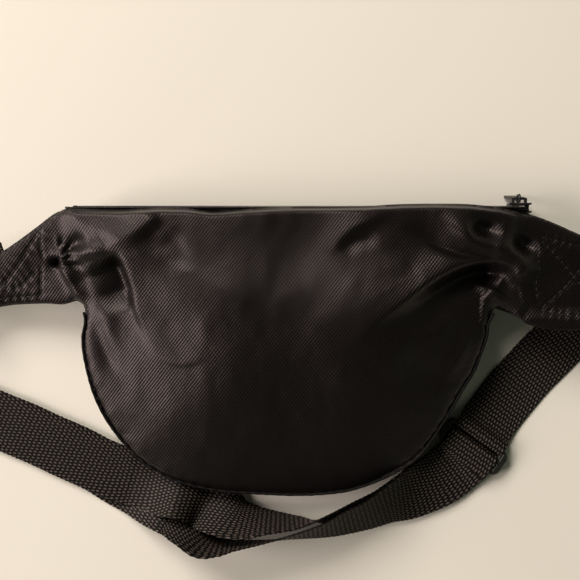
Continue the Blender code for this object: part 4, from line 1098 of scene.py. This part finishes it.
def zip_coils():
    main = {"front": (19.8, 21.4), "back": (22.6, 24.2)}
    for label, (low, high) in main.items():
        x, a, b = coil_row(-116.4, 126.9, high - low, 2.0)
        points = np.column_stack([x, MAIN_COIL_Y + b, (low + high) / 2 + a])
        place_coil(f"main_coil_{label}", points, f"main_zip_coil_{label}")
    pocket_rows = {"lower": (47.3, 48.9), "upper": (50.1, 51.7)}
    for label, (low, high) in pocket_rows.items():
        x, a, b = coil_row(-78.9, 78.9, high - low, 1.4)
        points = np.column_stack([x, (low + high) / 2 + a, POCKET_COIL_Z + b])
        place_coil(f"pocket_coil_{label}", points, f"pocket_zip_coil_{label}")


def place_coil(name, points, node):
    travel = unit(np.gradient(points, axis=0))
    side = unit(np.cross(travel, np.array([[1.0, 0.0, 0.0]])) + 1e-9)
    rise = np.cross(side, travel)
    segments = 6
    turn = np.linspace(0, 2 * math.pi, segments, endpoint=False)[:, None]
    ring = side[:, None] * np.cos(turn) + rise[:, None] * np.sin(turn)
    verts = points[:, None] + COIL_WIRE * ring
    made = link_mesh(name, verts.reshape(-1, 3) * MM, tube_faces(len(points), segments), PLASTIC)
    on_bag(made, "zip_coil", node)


# ------------------------------------------------------------------------------------ wing stitching
def wing_stitching(ring, edge):
    for name, lines in STITCH_LINES.items():
        rows = []
        for line in lines:
            flat = resample(smooth_route(line, 8), 0.6)
            rows.append(np.column_stack([flat, back_height(flat, ring, edge) + 0.12]))
        made = stitched(f"{name}_stitches", rows, length=2.9, gap=1.0, radius=0.3)
        on_bag(made, "nylon")


def tri_glide():
    """The moulded slide: round-cornered, with two slots either side of its centre bar."""
    curve = bpy.data.curves.new("webbing_slide", "CURVE")
    curve.dimensions, curve.fill_mode = "2D", "BOTH"
    curve.bevel_depth, curve.bevel_resolution = 0.75 * MM, 4
    curve.extrude = 0.75 * MM
    inset = 0.75
    half_width, half_length, bar = 8.0, 20.5, 2.4

    def ring(low, high, reach, radius, grow):
        spline = curve.splines.new("POLY")
        points = []
        for sx, sy, start in ((1, 1, 0), (-1, 1, 90), (-1, -1, 180), (1, -1, 270)):
            corner = ((high if sx > 0 else low) + sx * (grow - radius), sy * (reach + grow - radius))
            for k in range(9):
                angle = math.radians(start + 90 * k / 8)
                points.append((corner[0] + radius * math.cos(angle), corner[1] + radius * math.sin(angle)))
        spline.points.add(len(points) - 1)
        for point, place in zip(spline.points, points):
            point.co = (place[0] * MM, place[1] * MM, 0, 1)
        spline.use_cyclic_u = True

    ring(-half_width, half_width, half_length, 4.2, -inset)
    for low, high in ((-half_width + bar, -bar / 2), (bar / 2, half_width - bar)):
        ring(low, high, WEBBING_WIDTH / 2 + 0.8, 1.3, inset)
    item = bpy.data.objects.new("webbing_slide", curve)
    bpy.context.scene.collection.objects.link(item)
    item.location = Vector((*TRI_GLIDE_AT, TRI_GLIDE_Z)) * MM
    item.rotation_euler.z = math.radians(TRI_GLIDE_HEADING)
    curve.materials.append(PLASTIC)
    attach(item, "tri_glide")
    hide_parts("tri_glide")


def harden(node, width):
    """Rounds the edges of a CAD piece that shows, by a width in millimetres."""
    bevel = NODES[node].modifiers.new("worn edges", "BEVEL")
    bevel.width = width * MM
    bevel.segments = 3
    bevel.limit_method = "ANGLE"
    bevel.angle_limit = math.radians(40)


# ------------------------------------------------------------------------------------- start building
NYLON = nylon_material()
WALL_NYLON = nylon_material(upright=True)
BINDING = fibre_material("black_binding", 700.0, 3.0, (0.0016, 0.0015, 0.0015, 1), (0.007, 0.006, 0.006, 1),
                         0.75, 0.16)
WEB = webbing_material()
PLASTIC = plastic_material()
ENAMEL = enamel_material()
TAPE = tape_material()
THREAD = fibre_material("black_thread", 2500.0, 2.0, (0.004, 0.0036, 0.004, 1), (0.018, 0.016, 0.016, 1),
                        0.5, 0.35)

look()
back, back_outline = back_of_pack(NYLON)
on_bag(back, "nylon", "back_panel", "left_wing_back_layer", "right_wing_back_layer")
for side, label in ((-1, "left"), (1, "right")):
    under = wing_under(side, NYLON)
    on_bag(under, "nylon", f"{label}_wing_front_layer")
side_gusset()
piping()
front_of_pack()
pocket()
top_strips()
zip_coils()
wing_stitching(body_side(), back_outline)
belt()
left_belt()
tri_glide()

finish_of = {"nylon": NYLON, "webbing": WEB, "zip_tape": TAPE, "zip_coil": PLASTIC, "zip_metal": ENAMEL,
             "plastic": PLASTIC}
for part in frame["record"]["subparts"]:
    item = NODES[part["node"]]
    item.data.materials.clear()
    item.data.materials.append(finish_of[part["material_slot"]])
for node, width in (("buckle_plug", 0.6), ("buckle_socket", 0.6),
                    ("buckle_arm_near", 0.5), ("buckle_arm_far", 0.5), ("main_zip_slider", 0.3),
                    ("main_zip_pull", 0.45), ("pocket_zip_slider", 0.2), ("pocket_zip_pull", 0.25),
                    ("main_zip_end_stop", 0.3)):
    harden(node, width)
